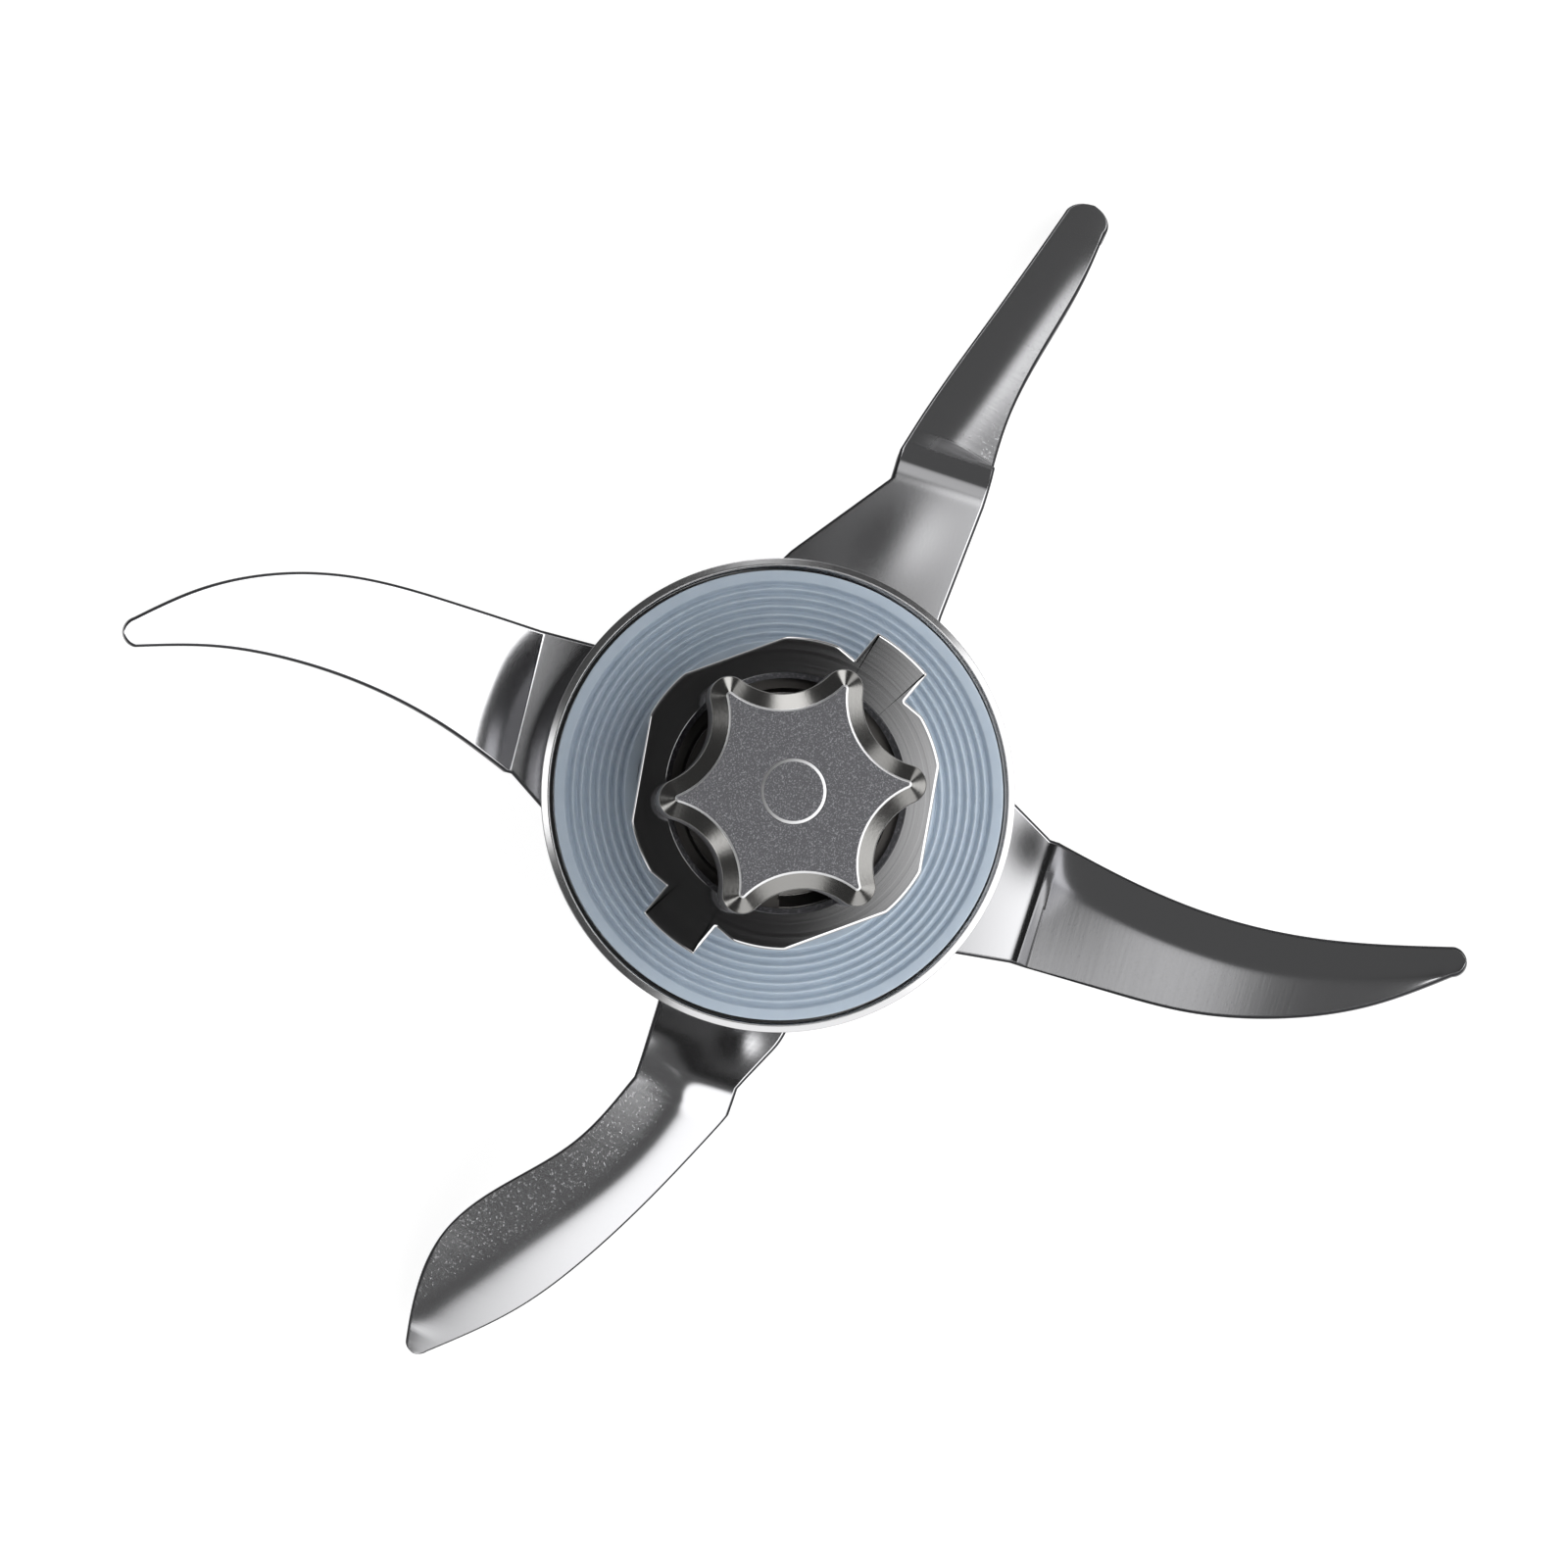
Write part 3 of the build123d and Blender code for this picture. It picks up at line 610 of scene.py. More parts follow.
def sealing_ring():
    """The ring's section: between the ridges the face dips by a raised cosine, then a plain land, a round
    outer edge and straight walls; the section is carried round the axis."""
    land = SEAL_RADIUS - SEAL_LAND
    inner_ridge = land - RIDGE_COUNT * RIDGE_PITCH
    radius = np.linspace(SEAL_INNER, SEAL_RADIUS - SEAL_EDGE, RIDGE_STEPS)
    phase = (land - radius) % RIDGE_PITCH
    dip = 0.5 - 0.5 * np.cos(2 * math.pi * phase / RIDGE_PITCH)
    dip = np.where((radius < land) & (radius > inner_ridge), dip, 0)
    slope = np.clip((inner_ridge - radius) / (inner_ridge - SEAL_INNER), 0, 1)
    face = np.stack([radius, -RIDGE_DEPTH * np.maximum(dip, slope)], axis=1)
    turn = np.linspace(0, math.pi / 2, CORNER_STEPS + 2)
    edge = SEAL_EDGE * np.stack([np.sin(turn) - 1, np.cos(turn) - 1], axis=1) + [SEAL_RADIUS, 0]
    foot = np.array([(SEAL_RADIUS, SEAL_FLOOR), (SEAL_INNER, SEAL_FLOOR)])
    section = np.concatenate([face, edge[1:], foot])
    grid = turned(section, around(SEAL_STEPS))
    put_piece("sealing_ring_moulded", grid, "housing", "sealing_ring", [silicone])


# Drive star


def star_outline():
    """Six tip arcs and six valley arcs, each tangent to the next, with even steps of angle along each arc,
    and the outward normals: away from the tip's centre, or towards the valley's."""
    half = math.pi / STAR_LOBES
    tip_place = STAR_TIP - STAR_TIP_ROUND
    across = tip_place * math.cos(half)
    valley_round = (STAR_TIP_ROUND**2 - tip_place**2 - STAR_VALLEY**2 + 2 * across * STAR_VALLEY) / (
        2 * (STAR_VALLEY - across - STAR_TIP_ROUND)
    )
    reach_out = STAR_VALLEY + valley_round
    valley_place = reach_out * np.array([math.cos(half), math.sin(half)])
    join = math.atan2(valley_place[1], valley_place[0] - tip_place)
    tip_turn = np.linspace(-join, join, STAR_STEPS, endpoint=False)
    tip_normal = np.stack([np.cos(tip_turn), np.sin(tip_turn)], axis=1)
    tip = np.array([tip_place, 0]) + STAR_TIP_ROUND * tip_normal
    dip_turn = np.linspace(join, 2 * half - join, STAR_STEPS, endpoint=False)
    dip_normal = np.stack([np.cos(dip_turn), np.sin(dip_turn)], axis=1)
    dip = valley_place - valley_round * dip_normal
    lobe = np.concatenate([tip, dip])
    normal = np.concatenate([tip_normal, dip_normal])
    turn = np.radians(STAR_ANGLE) + np.arange(STAR_LOBES) * 2 * half
    spin = np.stack([np.cos(turn), -np.sin(turn), np.sin(turn), np.cos(turn)], axis=1).reshape(-1, 1, 2, 2)
    return [(spin @ rows[None, :, :, None])[..., 0].reshape(-1, 2) for rows in (lobe, normal)]


def drive_star():
    """The star's section, carried round its lobed outline, and round the axis at its bore and boss."""
    lobes_foot = STAR_END - STAR_HEIGHT
    section = rounded(
        [
            (STAR_BORE, STAR_END, STAR_BORE_EDGE),
            (STAR_TIP - STAR_BEVEL_WIDTH, STAR_END, STAR_EDGE),
            (STAR_TIP, STAR_END - STAR_BEVEL_DEPTH, STAR_SIDE_EDGE),
            (STAR_TIP, lobes_foot, STAR_SIDE_EDGE),
            (STAR_BOSS, lobes_foot, STAR_FOOT_EDGE),
            (STAR_BOSS, STAR_FOOT, STAR_FOOT_EDGE),
            (STAR_BORE, STAR_FOOT, STAR_FOOT_EDGE),
        ]
    )
    outline, outward = star_outline()
    grid = carried(section, outline, outward, STAR_TIP, STAR_BOSS + STAR_BEVEL_WIDTH, lobes_foot - STAR_EDGE)
    radius, height = section.T
    above = height > STAR_END - STAR_BEVEL_DEPTH - STAR_EDGE / 3
    on_bevel = (radius > STAR_BOSS) & above & (height < STAR_END)
    from_edge = np.abs(radius - (STAR_TIP - STAR_BEVEL_WIDTH))
    # The rounded edge between face and bevel, drawn pale, partly as a painted highlight
    on_edge = (from_edge < STAR_EDGE / 3) & (height > STAR_END - STAR_EDGE / 3)
    put_piece(
        "drive_star_sintered", grid, "rotor", "drive_star",
        [blasted, bevelled, edge_steel_and_highlight], np.where(on_edge, 2, on_bevel),
    )


# Shaft, washer and nut


def drive_shaft():
    """The stepped section turned about the axis; below the flange the spigot is clipped to its two flats."""
    flange_top = LOWER_FACE + FLANGE_THICKNESS
    section = np.concatenate(
        [
            [(0, STAR_END)],
            rounded(
                [
                    (STUB_RADIUS - STUB_CHAMFER, STAR_END, STUB_EDGE),
                    (STUB_RADIUS, STAR_END - STUB_CHAMFER_DROP, STUB_EDGE),
                    (STUB_RADIUS, STAR_FOOT, SEAT_EDGE),
                    (SEAT_RADIUS, STAR_FOOT, COLLAR_EDGE),
                    (SEAT_RADIUS, SHAFT_SHOULDER, SEAT_EDGE),
                    (COLLAR_RADIUS, SHAFT_SHOULDER, COLLAR_EDGE),
                    (COLLAR_RADIUS, flange_top, COLLAR_EDGE),
                    (FLANGE_RADIUS, flange_top, FLANGE_ROUND),
                    (FLANGE_RADIUS, LOWER_FACE, FLANGE_EDGE),
                    (SEAT_RADIUS, LOWER_FACE, SEAT_EDGE),
                    (SEAT_RADIUS, pad_high[2], SPIGOT_EDGE),
                    (THREAD_RADIUS, pad_high[2], SPIGOT_EDGE),
                    (THREAD_RADIUS, shaft_low[2], THREAD_EDGE),
                    (0, shaft_low[2], 0),
                    (0, STAR_END, 0),
                ]
            )[: -2 * (CORNER_STEPS + 2)],
            [(0, shaft_low[2])],
        ]
    )
    angles = around(ROUND_STEPS)
    grid = turned(section, angles)
    span = np.maximum(np.linalg.norm(grid[..., :2], axis=-1), TINY)
    flatted = grid[..., 2] < LOWER_FACE - COLLAR_EDGE
    to_flat = np.minimum(1, flat_radius(SPIGOT_FLATS, angles) / span)
    grid[..., :2] *= np.where(flatted, to_flat, 1)[..., None]
    radius, height = section.T
    on_end = height > STAR_END - STUB_EDGE / 2
    # The end's chamfer edge, drawn pale, partly as a painted highlight
    on_edge = (height > STAR_END - STUB_CHAMFER_DROP - 2 * STUB_EDGE) & (
        radius > STUB_RADIUS - STUB_CHAMFER - STUB_EDGE / 2
    )
    put_piece(
        "drive_shaft_ground", grid, "rotor", "drive_shaft",
        [shaft_steel, blasted, edge_steel_and_highlight], np.where(on_edge, 2, on_end), wrap=(False, True),
    )


def blade_washer():
    """A flat ring with round edges, turned about the axis."""
    inner, outer = THREAD_RADIUS + WASHER_GAP, pad_high[0]
    low, high = pad_low[2], pad_high[2]
    corners = [(inner, low), (outer, low), (outer, high), (inner, high)]
    section = rounded([(*corner, WASHER_EDGE) for corner in corners])
    grid = turned(section, around(ROUND_STEPS))
    put_piece("blade_washer_turned", grid, "rotor", "blade_washer", [shaft_steel])


def cap_nut():
    """Radius = the smaller of the hexagon, apothem / cos, and a turned section with a chamfer cone and a
    dome that is part of a sphere; the blind hole is part of the same section."""
    top = nut_high[2]
    hex_low = top - NUT_HEX_HEIGHT
    apothem = NUT_FLATS / 2
    corner = apothem / math.cos(math.pi / 6)
    dome_foot = apothem - NUT_CHAMFER
    dome_rise = hex_low - nut_low[2]
    dome_radius = (dome_foot**2 + dome_rise**2) / (2 * dome_rise)
    sweep = math.asin(dome_foot / dome_radius) * (1 - np.linspace(0, 1, DOME_STEPS))
    hole = [(0, hex_low), (NUT_BORE, hex_low), (NUT_BORE, top - NUT_BORE_CHAMFER)]
    mouth = [(NUT_BORE + NUT_BORE_CHAMFER, top), (apothem, top)]
    side = np.linspace((corner, top - NUT_CHAMFER / 2), (corner, hex_low + NUT_CHAMFER), SIDE_STEPS)
    cone = np.linspace((corner, hex_low + NUT_CHAMFER), (apothem, hex_low), CHAMFER_STEPS)
    dome = np.stack([dome_radius * np.sin(sweep), nut_low[2] + dome_radius * (1 - np.cos(sweep))], axis=1)
    section = np.concatenate([hole, mouth, side, cone[1:], dome])
    angles = around(NUT_STEPS)
    hexagon = apothem / np.cos(angles % (math.pi / 3) - math.pi / 6)
    grid = turned(section, angles)
    span = np.linalg.norm(grid[..., :2], axis=-1)
    grid[..., :2] *= (np.minimum(span, hexagon) / np.maximum(span, TINY))[..., None]
    put_piece("cap_nut_turned", grid, "rotor", "cap_nut", [shaft_steel], wrap=(False, True))


# Blades: in the picture the near wing is on the left, the far one on the right, the steep one at the top
# and the broad one at the bottom. A wing's outline is (outwards, towards the back edge) from the end of its
# bend. ease is half the length that its bend is spread over, and lead_in the length and the share of it that
# comes early. grind is the bevel's slope, and run where it starts after the bend and the length that it
# fades in over. soft is its rounding at the root and how much that grows to the tip, and finish how rough it
# was left. marks are faint ridges that the press left in its root: (from the shaft, towards the back edge,
# half width, half length, turn, height).

NEAR_WING = dict(
    azimuth=116, bend_at=22.2, rise=9, root_lead=(12.0, -9.4), root_trail=(17.0, 6.9),
    ease=0.2, lead_in=(9.3, 0.195), grind=0.11, run=(3.0, 18.0), soft=(0.5, 0.5), finish=0.0,
    lead=[(0, -9.5), (8, -10.0), (17.3, -10.0), (24.0, -8.5), (30.2, -5.4), (34.7, -1.8)],
    bevel=[(0, 0.0), (8.9, -3.5), (18, -4.9), (28, -4.0)],
    tip=(35.3, -0.3),
    trail=[(0, 3.3), (5.7, 1.0), (13.3, -0.9), (20.5, -1.5), (27.3, -1.0), (34.0, 0.7)],
    marks=[(27.0, -11.0, 2.6, 9.5, 90, 0.05)],
)
FAR_WING = dict(
    azimuth=292, bend_at=25.0, rise=14, root_lead=(12.0, -9.0), root_trail=(20.0, 6.9),
    ease=0.8, lead_in=(1.0, 0.0), grind=0.21, run=(-0.3, 0.6), soft=(0.5, -0.3), finish=0.35,
    lead=[(0, -7.1), (8, -6.9), (15, -6.5), (22, -4.9), (30.6, -0.9), (36.3, 3.5)],
    bevel=[(0, 1.1), (8.9, -0.6), (18, -1.0), (29.9, 1.1)],
    tip=(37.1, 5.2),
    trail=[(0, 4.3), (6, 3.2), (14, 2.4), (24, 3.1), (35.7, 6.0)],
    marks=[(25.4, 3.7, 2.6, 2.6, 0, 0.07)],
)
STEEP_WING = dict(
    azimuth=22, bend_at=30.5, rise=-36, root_lead=(20.0, -9.9), root_trail=(21.0, 5.0),
    ease=1.7, lead_in=(1.0, 0.0), grind=0.36, run=(1.2, 1.0), soft=(1.6, 0.4), finish=1.0,
    lead=[(0, -10.5), (7.6, -10.6), (19.7, -12.6), (28.0, -14.2), (33.0, -14.8)],
    bevel=[(0, -5.8), (6.1, -7.8), (15.0, -10.2), (25.0, -12.8)],
    tip=(36.0, -13.2),
    trail=[(0, -1.9), (4.5, -2.9), (20.4, -7.1), (34.2, -10.7)],
    marks=[(25.4, -4.2, 2.5, 4.2, -20, 0.02)],
)
BROAD_WING = dict(
    azimuth=202, bend_at=25.0, rise=-33, root_lead=(19.0, -3.4), root_trail=(20.0, 8.0),
    ease=2.6, lead_in=(1.0, 0.0), grind=0.36, run=(-5.5, 6.5), soft=(0.9, 0.3), finish=1.0,
    lead=[(0, -3.3), (9.1, -6.6), (18.0, -12.7), (22.5, -14.8), (28.5, -15.6), (34.6, -15.0)],
    bevel=[(0, 0.9), (5.2, -0.4), (12.9, -3.7), (21.4, -8.7), (28.5, -13.3), (32.6, -15.1)],
    tip=(35.6, -13.9),
    trail=[(0, 5.6), (9.6, 2.2), (20.0, -2.2), (27.1, -6.2), (35.0, -12.8)],
    marks=[(26.0, -3.2, 2.6, 2.6, 0, 0.04), (21.2, 4.6, 1.3, 1.3, 0, 0.042)],
)

# The short step at a bevel's start is drawn darker as painted shade, and the sheet's cut walls are drawn dark
# grey, partly as painted shade for their dark outlines
STEP_LENGTH = 1.0
STEP_SLOPE = 4.0
STEP_SHADE = 0.7
WALL_FINISH_AND_SHADE = -0.4
DEPTH_BLEND = 0.12
ROUND_OF_THICKNESS = 0.4
ROUND_OF_WIDTH = 0.3
BEVEL_LIMITS = (0.03, 0.86)
BEVEL_POINTS = 2000
ROOT_SPACING = 1.6
ROW_SPACING = 1.7
ROOT_STATIONS = 44
BEND_STATIONS = 12
WING_STATIONS = 110
TIP_STATIONS = 16
BEVEL_ROWS = 14
FACE_ROWS = 16
SIDE_ROWS = 5
BACK_ROWS = 10
FOLD_STEPS = 6000
FOLD_REACH = 1.05
TOP_ROWS = BEVEL_ROWS + FACE_ROWS + 1


def smooth_curve(points, count):
    """A curve through the points: a natural cubic in the distance along them, at even steps."""
    points = np.asarray(points, float)
    step = np.linalg.norm(np.diff(points, axis=0), axis=1)
    place = np.concatenate([[0], np.cumsum(step)])
    size = len(points)
    matrix = np.zeros((size, size))
    right = np.zeros((size, 2))
    inner = np.arange(1, size - 1)
    matrix[0, 0] = matrix[-1, -1] = 1
    matrix[inner, inner - 1] = step[:-1]
    matrix[inner, inner] = 2 * (step[:-1] + step[1:])
    matrix[inner, inner + 1] = step[1:]
    slope = np.diff(points, axis=0) / step[:, None]
    right[1:-1] = 6 * np.diff(slope, axis=0)
    curl = np.linalg.solve(matrix, right)
    at = np.linspace(0, place[-1], count)
    span = np.clip(np.searchsorted(place, at, side="right") - 1, 0, size - 2)
    width = step[span][:, None]
    after = (at - place[span])[:, None]
    before = width - after
    cubic = (curl[span] * before**3 + curl[span + 1] * after**3) / (6 * width)
    first = (points[span] / width - curl[span] * width / 6) * before
    second = (points[span + 1] / width - curl[span + 1] * width / 6) * after
    return cubic + first + second


def smooth_step(value):
    """0 below 0, 1 above 1 and v^2 (3 - 2 v) between."""
    value = np.clip(value, 0, 1)
    return value * value * (3 - 2 * value)


def arc_to(start, middle, end, count):
    """The first part, from start to middle, of the circle through three points, without its first point."""
    first, second, third = (np.asarray(point, float) for point in (start, middle, end))
    sides = np.array([second - first, third - first])
    squares = np.array([second @ second - first @ first, third @ third - first @ first])
    centre = np.linalg.solve(2 * sides, squares)
    from_angle, to_angle = (math.atan2(*(point - centre)[::-1]) for point in (first, second))
    turn = (to_angle - from_angle + math.pi) % (2 * math.pi) - math.pi
    angles = from_angle + turn * np.linspace(0, 1, count + 1)[1:]
    return centre + np.linalg.norm(first - centre) * np.stack([np.cos(angles), np.sin(angles)], axis=1)


def bevel_share(lead, trail, line):
    """How far across a wing its bevel line runs, from 0 at the cutting edge to 1 at the back edge: where
    each straight line from edge to edge meets the bevel line."""
    across = trail - lead
    to_line = line[None] - lead[:, None]
    aside = across[:, None, 0] * to_line[..., 1] - across[:, None, 1] * to_line[..., 0]
    met = line[np.abs(aside).argmin(axis=1)]
    return ((met - lead) * across).sum(axis=1) / (across**2).sum(axis=1)


def wing_edges(wing):
    """Cutting edge, back edge, bevel share and two lengthwise shares along a wing from the shaft to its tip,
    unrolled flat. The root follows straight sides with a round corner, the bend keeps its width, the wing
    follows its outline's curves, and both edges meet at the tip's arc."""
    bend_at = wing["bend_at"]
    lead, trail = wing["lead"], wing["trail"]
    corners = [
        (0, -HUB_RADIUS, 0),
        (*wing["root_lead"], ROOT_ROUND),
        (bend_at, lead[0][1], 0),
        (bend_at, trail[0][1], 0),
        (*wing["root_trail"], ROOT_ROUND),
        (0, HUB_RADIUS, 0),
    ]
    sides = rounded(corners, hold=0).reshape(6, -1, 2)
    x = bend_at * (1 - (1 - np.linspace(0, 1, ROOT_STATIONS)) ** ROOT_SPACING)
    lower, upper = sides[:3].reshape(-1, 2), sides[5:2:-1, ::-1].reshape(-1, 2)
    disc = np.where(x < HUB_RADIUS, np.sqrt(np.maximum(HUB_RADIUS**2 - x**2, 0)), -HUB_RADIUS)
    root_lead = np.stack([x, np.minimum(np.interp(x, lower[:, 0], lower[:, 1]), -disc)], axis=1)
    root_trail = np.stack([x, np.maximum(np.interp(x, upper[:, 0], upper[:, 1]), disc)], axis=1)
    length = math.radians(abs(wing["rise"])) * (BEND_RADIUS + SHEET / 2)
    bend = bend_at + length * np.linspace(0, 1, BEND_STATIONS + 1)[1:]
    start = np.array([bend_at + length, 0])
    edges = []
    for root, points, other in ((root_lead, lead, trail), (root_trail, trail, lead)):
        level = np.stack([bend, np.full(BEND_STATIONS, points[0][1])], axis=1)
        outline = smooth_curve(points, WING_STATIONS + 1)[1:]
        end = arc_to(points[-1], wing["tip"], other[-1], TIP_STATIONS)
        edges.append(np.concatenate([root, level, start + outline, start + end]))
    line = smooth_curve([*wing["bevel"], lead[-1]], BEVEL_POINTS) + start
    here = slice(ROOT_STATIONS + BEND_STATIONS, ROOT_STATIONS + BEND_STATIONS + WING_STATIONS)
    share = bevel_share(edges[0][here], edges[1][here], line)
    before = np.full(ROOT_STATIONS + BEND_STATIONS, share[0])
    share = np.clip(np.concatenate([before, share, np.full(TIP_STATIONS, share[-1])]), *BEVEL_LIMITS)
    outwards = np.clip((edges[0][:, 0] - start[0]) / lead[-1][0], 0, 1)
    ground = smooth_step((edges[0][:, 0] - start[0] - wing["run"][0]) / wing["run"][1])
    return edges[0], edges[1], share, outwards, ground


def ground_drop(place, softness):
    """How far the ground face has dropped at a distance from the bevel line, as a hyperbola whose arms are
    the sheet's face and a slope of one: (d + sqrt(d^2 + s^2)) / 2."""
    return (place + np.sqrt(place**2 + softness**2)) / 2


def face_rows(share, width):
    """Where the face's rows lie across a wing, from 0 at the cutting edge to 1 at the back edge: closest
    together at the bevel line, with a holding row beside each edge."""
    bevel = share * (1 - (1 - np.linspace(0, 1, BEVEL_ROWS)) ** ROW_SPACING)
    face = share + (1 - share) * np.linspace(0, 1, FACE_ROWS) ** ROW_SPACING
    hold = EDGE_HOLD / np.maximum(width, TINY)
    first = np.minimum(hold, bevel[:, 1:2] / 2)
    last = np.maximum(1 - hold, (1 + face[:, -2:-1]) / 2)
    return np.hstack([bevel[:, :1], first, bevel[:, 1:], face[:, 1:-1], last, face[:, -1:]])


def row_finish(wing, ground, slope, rows):
    """Finish at each point of a wing's grid: above 0 it is ground, at 0 as rolled, and below 0 a dull cut
    drawn dark grey. The face is ground where it slopes, a short step at the bevel's start is dull and drawn
    darker as painted shade, and the far face is as rolled between two duller edges, whose dark grey is partly
    painted shade."""
    kind = np.full((len(ground), rows), -1.0)
    step = (np.roll(ground, -1, axis=0) > 0) & (np.roll(ground, 1, axis=0) < 1)
    step &= wing["run"][1] <= STEP_LENGTH
    # The step's painted shade: darker where the step is steeper
    dull = -np.minimum(STEP_SHADE, STEP_SLOPE * slope)
    kind[:, :TOP_ROWS] = np.where(step, dull, ground * wing["finish"] * slope)
    far_face = TOP_ROWS + 2 * SIDE_ROWS
    cutting_side = far_face + BACK_ROWS - 2
    kind[:, far_face - SIDE_ROWS : far_face] = WALL_FINISH_AND_SHADE
    kind[:, far_face:cutting_side] = 0.0
    kind[:, cutting_side : cutting_side + SIDE_ROWS] = WALL_FINISH_AND_SHADE
    return kind


def wing_grid(wing):
    """Points of a half strip: along it by across a closed section. The section runs over the face from the
    cutting edge to the back edge, round it, along the far face and round the cutting edge. The ground
    part drops from the bevel line to the cutting edge, the sides are quarter rounds, and the whole is then
    folded at the bend. The second result is each point's place along, place across and finish."""
    lead, trail, share, outwards, ground = (values[:, None] for values in wing_edges(wing))
    width = np.linalg.norm(trail - lead, axis=2)
    bevel_width = share * width
    depth = soft_min(SHEET - CUTTING_EDGE, wing["grind"] * bevel_width, DEPTH_BLEND) * ground
    trail_round = np.minimum(EDGE_ROUND, ROUND_OF_WIDTH * width)
    lead_round = np.minimum(ROUND_OF_THICKNESS * (SHEET - depth), trail_round)
    top_across = lead_round + (width - lead_round - trail_round) * face_rows(share, width)
    softness = wing["soft"][0] + wing["soft"][1] * outwards**2
    from_line = bevel_width - top_across
    drop = ground_drop(from_line, softness)
    top_height = -depth * (drop - drop[:, -1:]) / np.maximum(drop[:, :1] - drop[:, -1:], TINY)
    turn = np.linspace(0, math.pi / 2, SIDE_ROWS + 1)[1:]
    trail_across = width - trail_round * (1 - np.sin(turn))
    trail_height = -trail_round * (1 - np.cos(turn))
    lead_across = lead_round * (1 - np.sin(turn))
    lead_height = -lead_round * (1 - np.cos(turn))
    back = (1 - np.cos(math.pi * np.linspace(0, 1, BACK_ROWS)[1:-1])) / 2
    back_across = (width - trail_round) + (lead_round - width + trail_round) * back
    back_height = np.full_like(back_across, -SHEET)
    across = np.hstack(
        [top_across, trail_across, trail_across[:, ::-1], back_across, lead_across, lead_across[:, ::-1]]
    )
    height = np.hstack(
        [
            top_height,
            trail_height,
            -SHEET - trail_height[:, ::-1],
            back_height,
            -SHEET - lead_height,
            lead_height[:, ::-1] - depth,
        ]
    )
    flat = lead + (trail - lead) * (across / np.maximum(width, TINY))[..., None]
    slope = (1 + from_line / np.hypot(from_line, softness)) / 2
    kind = row_finish(wing, ground, slope, across.shape[1])
    trait = np.stack([flat[..., 0], across, kind], axis=-1)
    return folded(flat[..., 0], flat[..., 1], height + pressed(flat, wing), wing), trait


def pressed(flat, wing):
    """Height of the press's marks at flat points: each is a bell curve, exp(-(crosswise / half width)^2 -
    (lengthwise / half length)^2), turned to run along the mark."""
    total = np.zeros(flat.shape[:2])
    for out, back, wide, long, turn, height in wing["marks"]:
        along, aside = flat[..., 0] - out, flat[..., 1] - back
        cosine, sine = math.cos(math.radians(turn)), math.sin(math.radians(turn))
        lengthwise = along * cosine + aside * sine
        crosswise = aside * cosine - along * sine
        total += height * np.exp(-((crosswise / wide) ** 2) - (lengthwise / long) ** 2)
    return total


def folded(along, across, height, wing):
    """Bends flat points and turns them to the wing's azimuth. The sheet's middle layer turns by a smooth
    step from nothing to the wing's rise, centred on its bend, and a share of that comes early, by a longer
    step. Its path is the running sum of (cos, sin) of that turn, and a point's height is laid off square to
    it."""
    rise = math.radians(wing["rise"])
    centre = wing["bend_at"] + (BEND_RADIUS + SHEET / 2) * abs(rise) / 2
    place = np.linspace(0, FOLD_REACH * along.max(), FOLD_STEPS)
    length, early = wing["lead_in"]
    sharp = smooth_step((place - centre) / (2 * wing["ease"]) + 0.5)
    gentle = smooth_step((place - centre) / length + 1)
    turn = rise * ((1 - early) * sharp + early * gentle)
    path_out = np.cumsum(np.cos(turn)) * place[1]
    path_up = np.cumsum(np.sin(turn)) * place[1]
    here = np.interp(along, place, turn)
    lift = height + SHEET / 2
    out = np.interp(along, place, path_out - path_out[0]) - lift * np.sin(here)
    up = np.interp(along, place, path_up) - SHEET / 2 + lift * np.cos(here)
    azimuth = math.radians(wing["azimuth"])
    x = out * math.cos(azimuth) - across * math.sin(azimuth)
    y = out * math.sin(azimuth) + across * math.cos(azimuth)
    return np.stack([x, y, up], axis=-1)


def blade(name, node, face_height, first, second):
    """Two half strips joined at the shaft: the second has its section's order turned round, because its
    cutting edge is on the other side. The flatted hole is then cut through the hub."""
    one, one_trait = wing_grid(first)
    two, two_trait = wing_grid(second)
    two, two_trait = (np.roll(rows[:, ::-1], TOP_ROWS, axis=1) for rows in (two, two_trait))
    grid = np.concatenate([one[::-1], two[1:]])
    trait = np.concatenate([one_trait[::-1], two_trait[1:]])
    grid[..., 2] += face_height
    made = put_piece(
        name, grid, "rotor", node, [sheet_steel], wrap=(False, True), trait=trait
    )
    cut_hole(made, face_height)


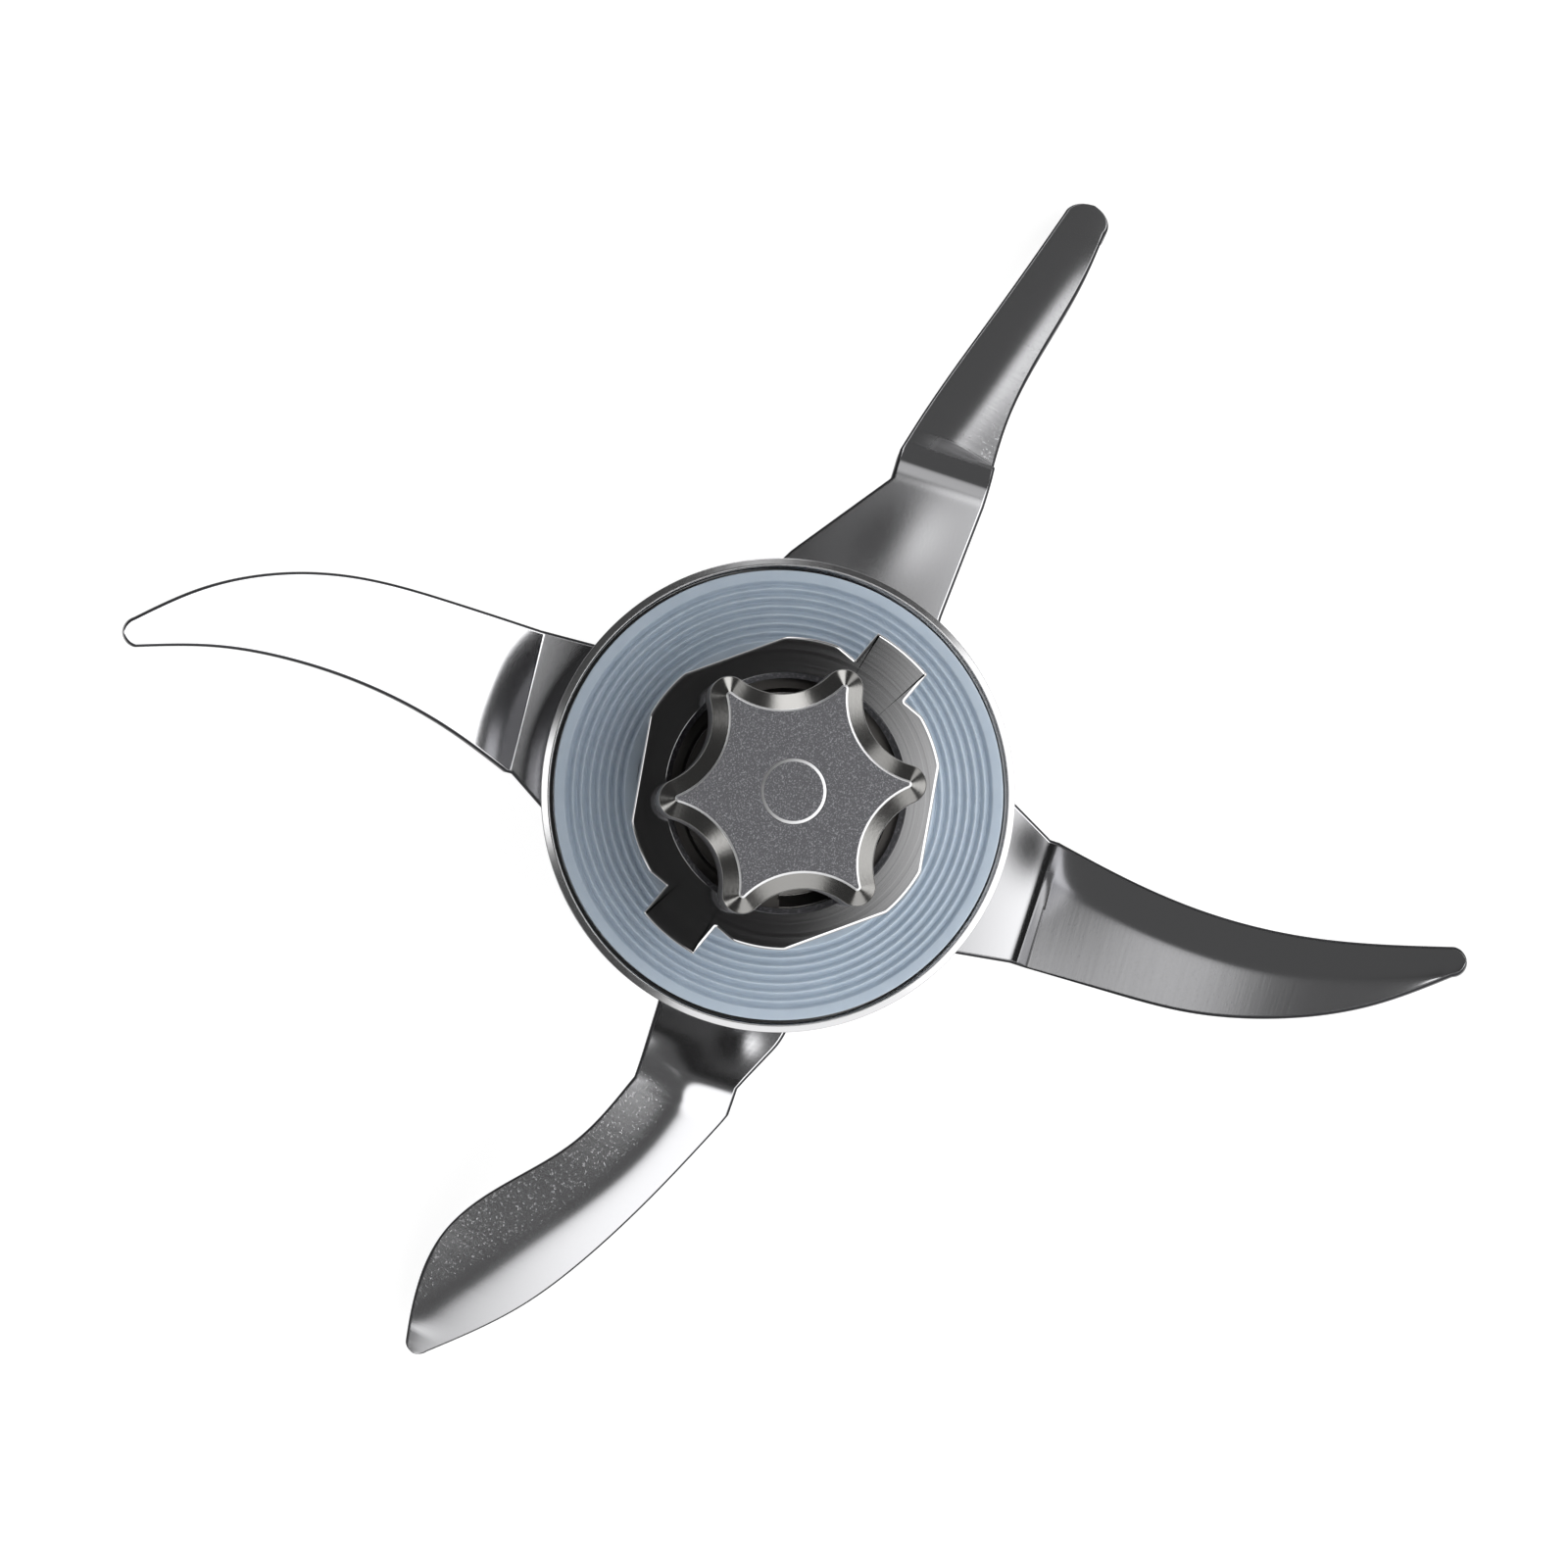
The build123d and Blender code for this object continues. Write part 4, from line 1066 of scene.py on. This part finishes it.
def cut_hole(piece, face_height):
    """Cuts the hub's hole: a prism whose outline is a circle clipped to two flats."""
    angles = around(HOLE_STEPS)
    x = HOLE_RADIUS * np.cos(angles)
    y = np.clip(HOLE_RADIUS * np.sin(angles), -HOLE_FLATS / 2, HOLE_FLATS / 2)
    ends = (-2 * SHEET, SHEET)
    rings = [np.stack([x, y, np.full(HOLE_STEPS, face_height + z)], axis=1) for z in ends]
    low = np.arange(HOLE_STEPS)
    high = low + HOLE_STEPS
    walls = np.stack([low, np.roll(low, -1), np.roll(high, -1), high], axis=1).tolist()
    faces = [*walls, low[::-1].tolist(), high.tolist()]
    mesh = bpy.data.meshes.new("hub_cutter")
    mesh.from_pydata((np.concatenate(rings) * MM).tolist(), [], faces)
    cutter = bpy.data.objects.new("hub_cutter", mesh)
    bpy.context.scene.collection.objects.link(cutter)
    cut = piece.modifiers.new("hub_hole", "BOOLEAN")
    cut.operation = "DIFFERENCE"
    cut.solver = "EXACT"
    cut.object = cutter
    cut_mesh = bpy.data.meshes.new_from_object(piece.evaluated_get(bpy.context.evaluated_depsgraph_get()))
    piece.modifiers.clear()
    piece.data = cut_mesh
    cut_mesh.set_sharp_from_angle(angle=math.radians(SHARP_ANGLE))
    bpy.data.objects.remove(cutter)
    bpy.data.meshes.remove(mesh)


bearing_housing()
sealing_ring()
drive_star()
drive_shaft()
blade_washer()
cap_nut()
blade("lower_blade_formed", "lower_blade", LOWER_FACE, NEAR_WING, FAR_WING)
blade("upper_blade_formed", "upper_blade", UPPER_FACE, STEEP_WING, BROAD_WING)


# Camera, floor and light


def in_frame(point):
    """A point given along the picture's right, up and towards the viewer, turned to the part's own axes."""
    turn = math.radians(-PHOTO_TURN)
    x, y, z = point
    return Vector((x * math.cos(turn) - y * math.sin(turn), x * math.sin(turn) + y * math.cos(turn), z))


def add_camera():
    """The camera looks down on the star, at the photograph's place and turn."""
    data = bpy.data.cameras.new("camera")
    data.lens = CAMERA_LENS
    data.sensor_width = CAMERA_SENSOR
    data.clip_start = CAMERA_NEAR * MM
    camera = bpy.data.objects.new("camera", data)
    bpy.context.scene.collection.objects.link(camera)
    place = in_frame(CAMERA_PLACE) * MM
    forward = (in_frame(CAMERA_TARGET) * MM - place).normalized()
    right = forward.cross(in_frame((0, 1, 0))).normalized()
    up = right.cross(forward)
    turn = Matrix((right, up, -forward)).transposed().to_4x4()
    camera.matrix_world = Matrix.Translation(place) @ turn
    bpy.context.scene.camera = camera


def floor_paper():
    """Pale paper that shows white to the eye and greyer in reflections."""
    made = bpy.data.materials.new("paper_white")
    made.use_nodes = True
    tree = made.node_tree
    tree.nodes.clear()
    path = add(tree, "LightPath")
    eye, through = path.outputs["Is Camera Ray"], path.outputs["Is Transmission Ray"]
    seen = add(tree, "Math", {0: eye, 1: through}, operation="MAXIMUM").outputs[0]
    shown = add(tree, "Math", {0: seen, 1: FLOOR_GLOW}, operation="MULTIPLY").outputs[0]
    mirrored = {0: path.outputs["Is Glossy Ray"], 1: FLOOR_SHEEN, 2: shown}
    glow = add(tree, "Math", mirrored, operation="MULTIPLY_ADD").outputs[0]
    paper = add(tree, "BsdfDiffuse", {"Color": linear("#9a9a9a")}).outputs["BSDF"]
    light = add(tree, "Emission", {"Color": (1, 1, 1, 1), "Strength": glow}).outputs["Emission"]
    both = add(tree, "AddShader", {0: paper, 1: light}).outputs["Shader"]
    add(tree, "OutputMaterial", {"Surface": both})
    return made


def add_floor():
    """A wide disc of paper just under the lowest wing tip."""
    section = np.array([(FLOOR_RADIUS * MM, cad_low.z - FLOOR_GAP * MM)])
    points = turned(section, around(FLOOR_STEPS))[0]
    mesh = bpy.data.meshes.new("floor")
    mesh.from_pydata(points.tolist(), [], [list(range(FLOOR_STEPS))])
    mesh.materials.append(floor_paper())
    floor = bpy.data.objects.new("floor", mesh)
    bpy.context.scene.collection.objects.link(floor)


def box_aim(azimuth, zenith):
    """Direction of a soft box from the part: (cos a sin z, sin a sin z, cos z) along the picture's axes."""
    azimuth, zenith = math.radians(azimuth), math.radians(zenith)
    level = math.sin(zenith)
    return in_frame((math.cos(azimuth) * level, math.sin(azimuth) * level, math.cos(zenith)))


def add_world():
    """A dim room with round soft boxes, two large ones and some small, and a pale horizon all round;
    straight to the eye it is a plain white backdrop. Each layer changes smoothly across an edge from one
    level to another, by the ray's height or by its cosine with a box's direction, and the brightest shows."""
    world = bpy.data.worlds.new("studio")
    bpy.context.scene.world = world
    world.use_nodes = True
    tree = world.node_tree
    tree.nodes.clear()
    way = add(tree, "TexCoord").outputs["Generated"]
    height = add(tree, "SeparateXYZ", {"Vector": way}).outputs["Z"]
    path = add(tree, "LightPath")
    mirrored, eye = path.outputs["Is Glossy Ray"], path.outputs["Is Camera Ray"]
    dimmed = {0: mirrored, 1: HORIZON_SHEEN - HORIZON_LEVEL, 2: HORIZON_LEVEL}
    horizon = add(tree, "Math", dimmed, operation="MULTIPLY_ADD").outputs[0]
    layers = [(height, HORIZON_EDGE, (horizon, 0.0)), (height, ROOM_EDGE, ROOM_LEVEL)]
    for box in SOFT_BOXES:
        aim = {0: way, 1: box_aim(box["azimuth"], box["zenith"])}
        facing = add(tree, "VectorMath", aim, operation="DOT_PRODUCT").outputs["Value"]
        edge = [math.cos(math.radians(box["spread"] + side * box["edge"])) for side in (1, -1)]
        layers.append((facing, edge, (0.0, box["level"])))
    lit = []
    for value, edge, ends in layers:
        fade = {"Value": value, "From Min": edge[0], "From Max": edge[1]}
        fade |= {"To Min": ends[0], "To Max": ends[1]}
        lit.append(add(tree, "MapRange", fade, interpolation_type="SMOOTHSTEP").outputs["Result"])
    level = lit[0]
    for other in lit[1:]:
        level = add(tree, "Math", {0: level, 1: other}, operation="MAXIMUM").outputs[0]
    seen = add(tree, "Mix", {"Factor": eye, "A": level, "B": BACKDROP_LEVEL}).outputs["Result"]
    sky = add(tree, "Background", {"Color": (1, 1, 1, 1), "Strength": seen})
    add(tree, "OutputWorld", {"Surface": sky.outputs["Background"]})


add_camera()
add_floor()
add_world()
bpy.context.scene.view_settings.view_transform = "Standard"
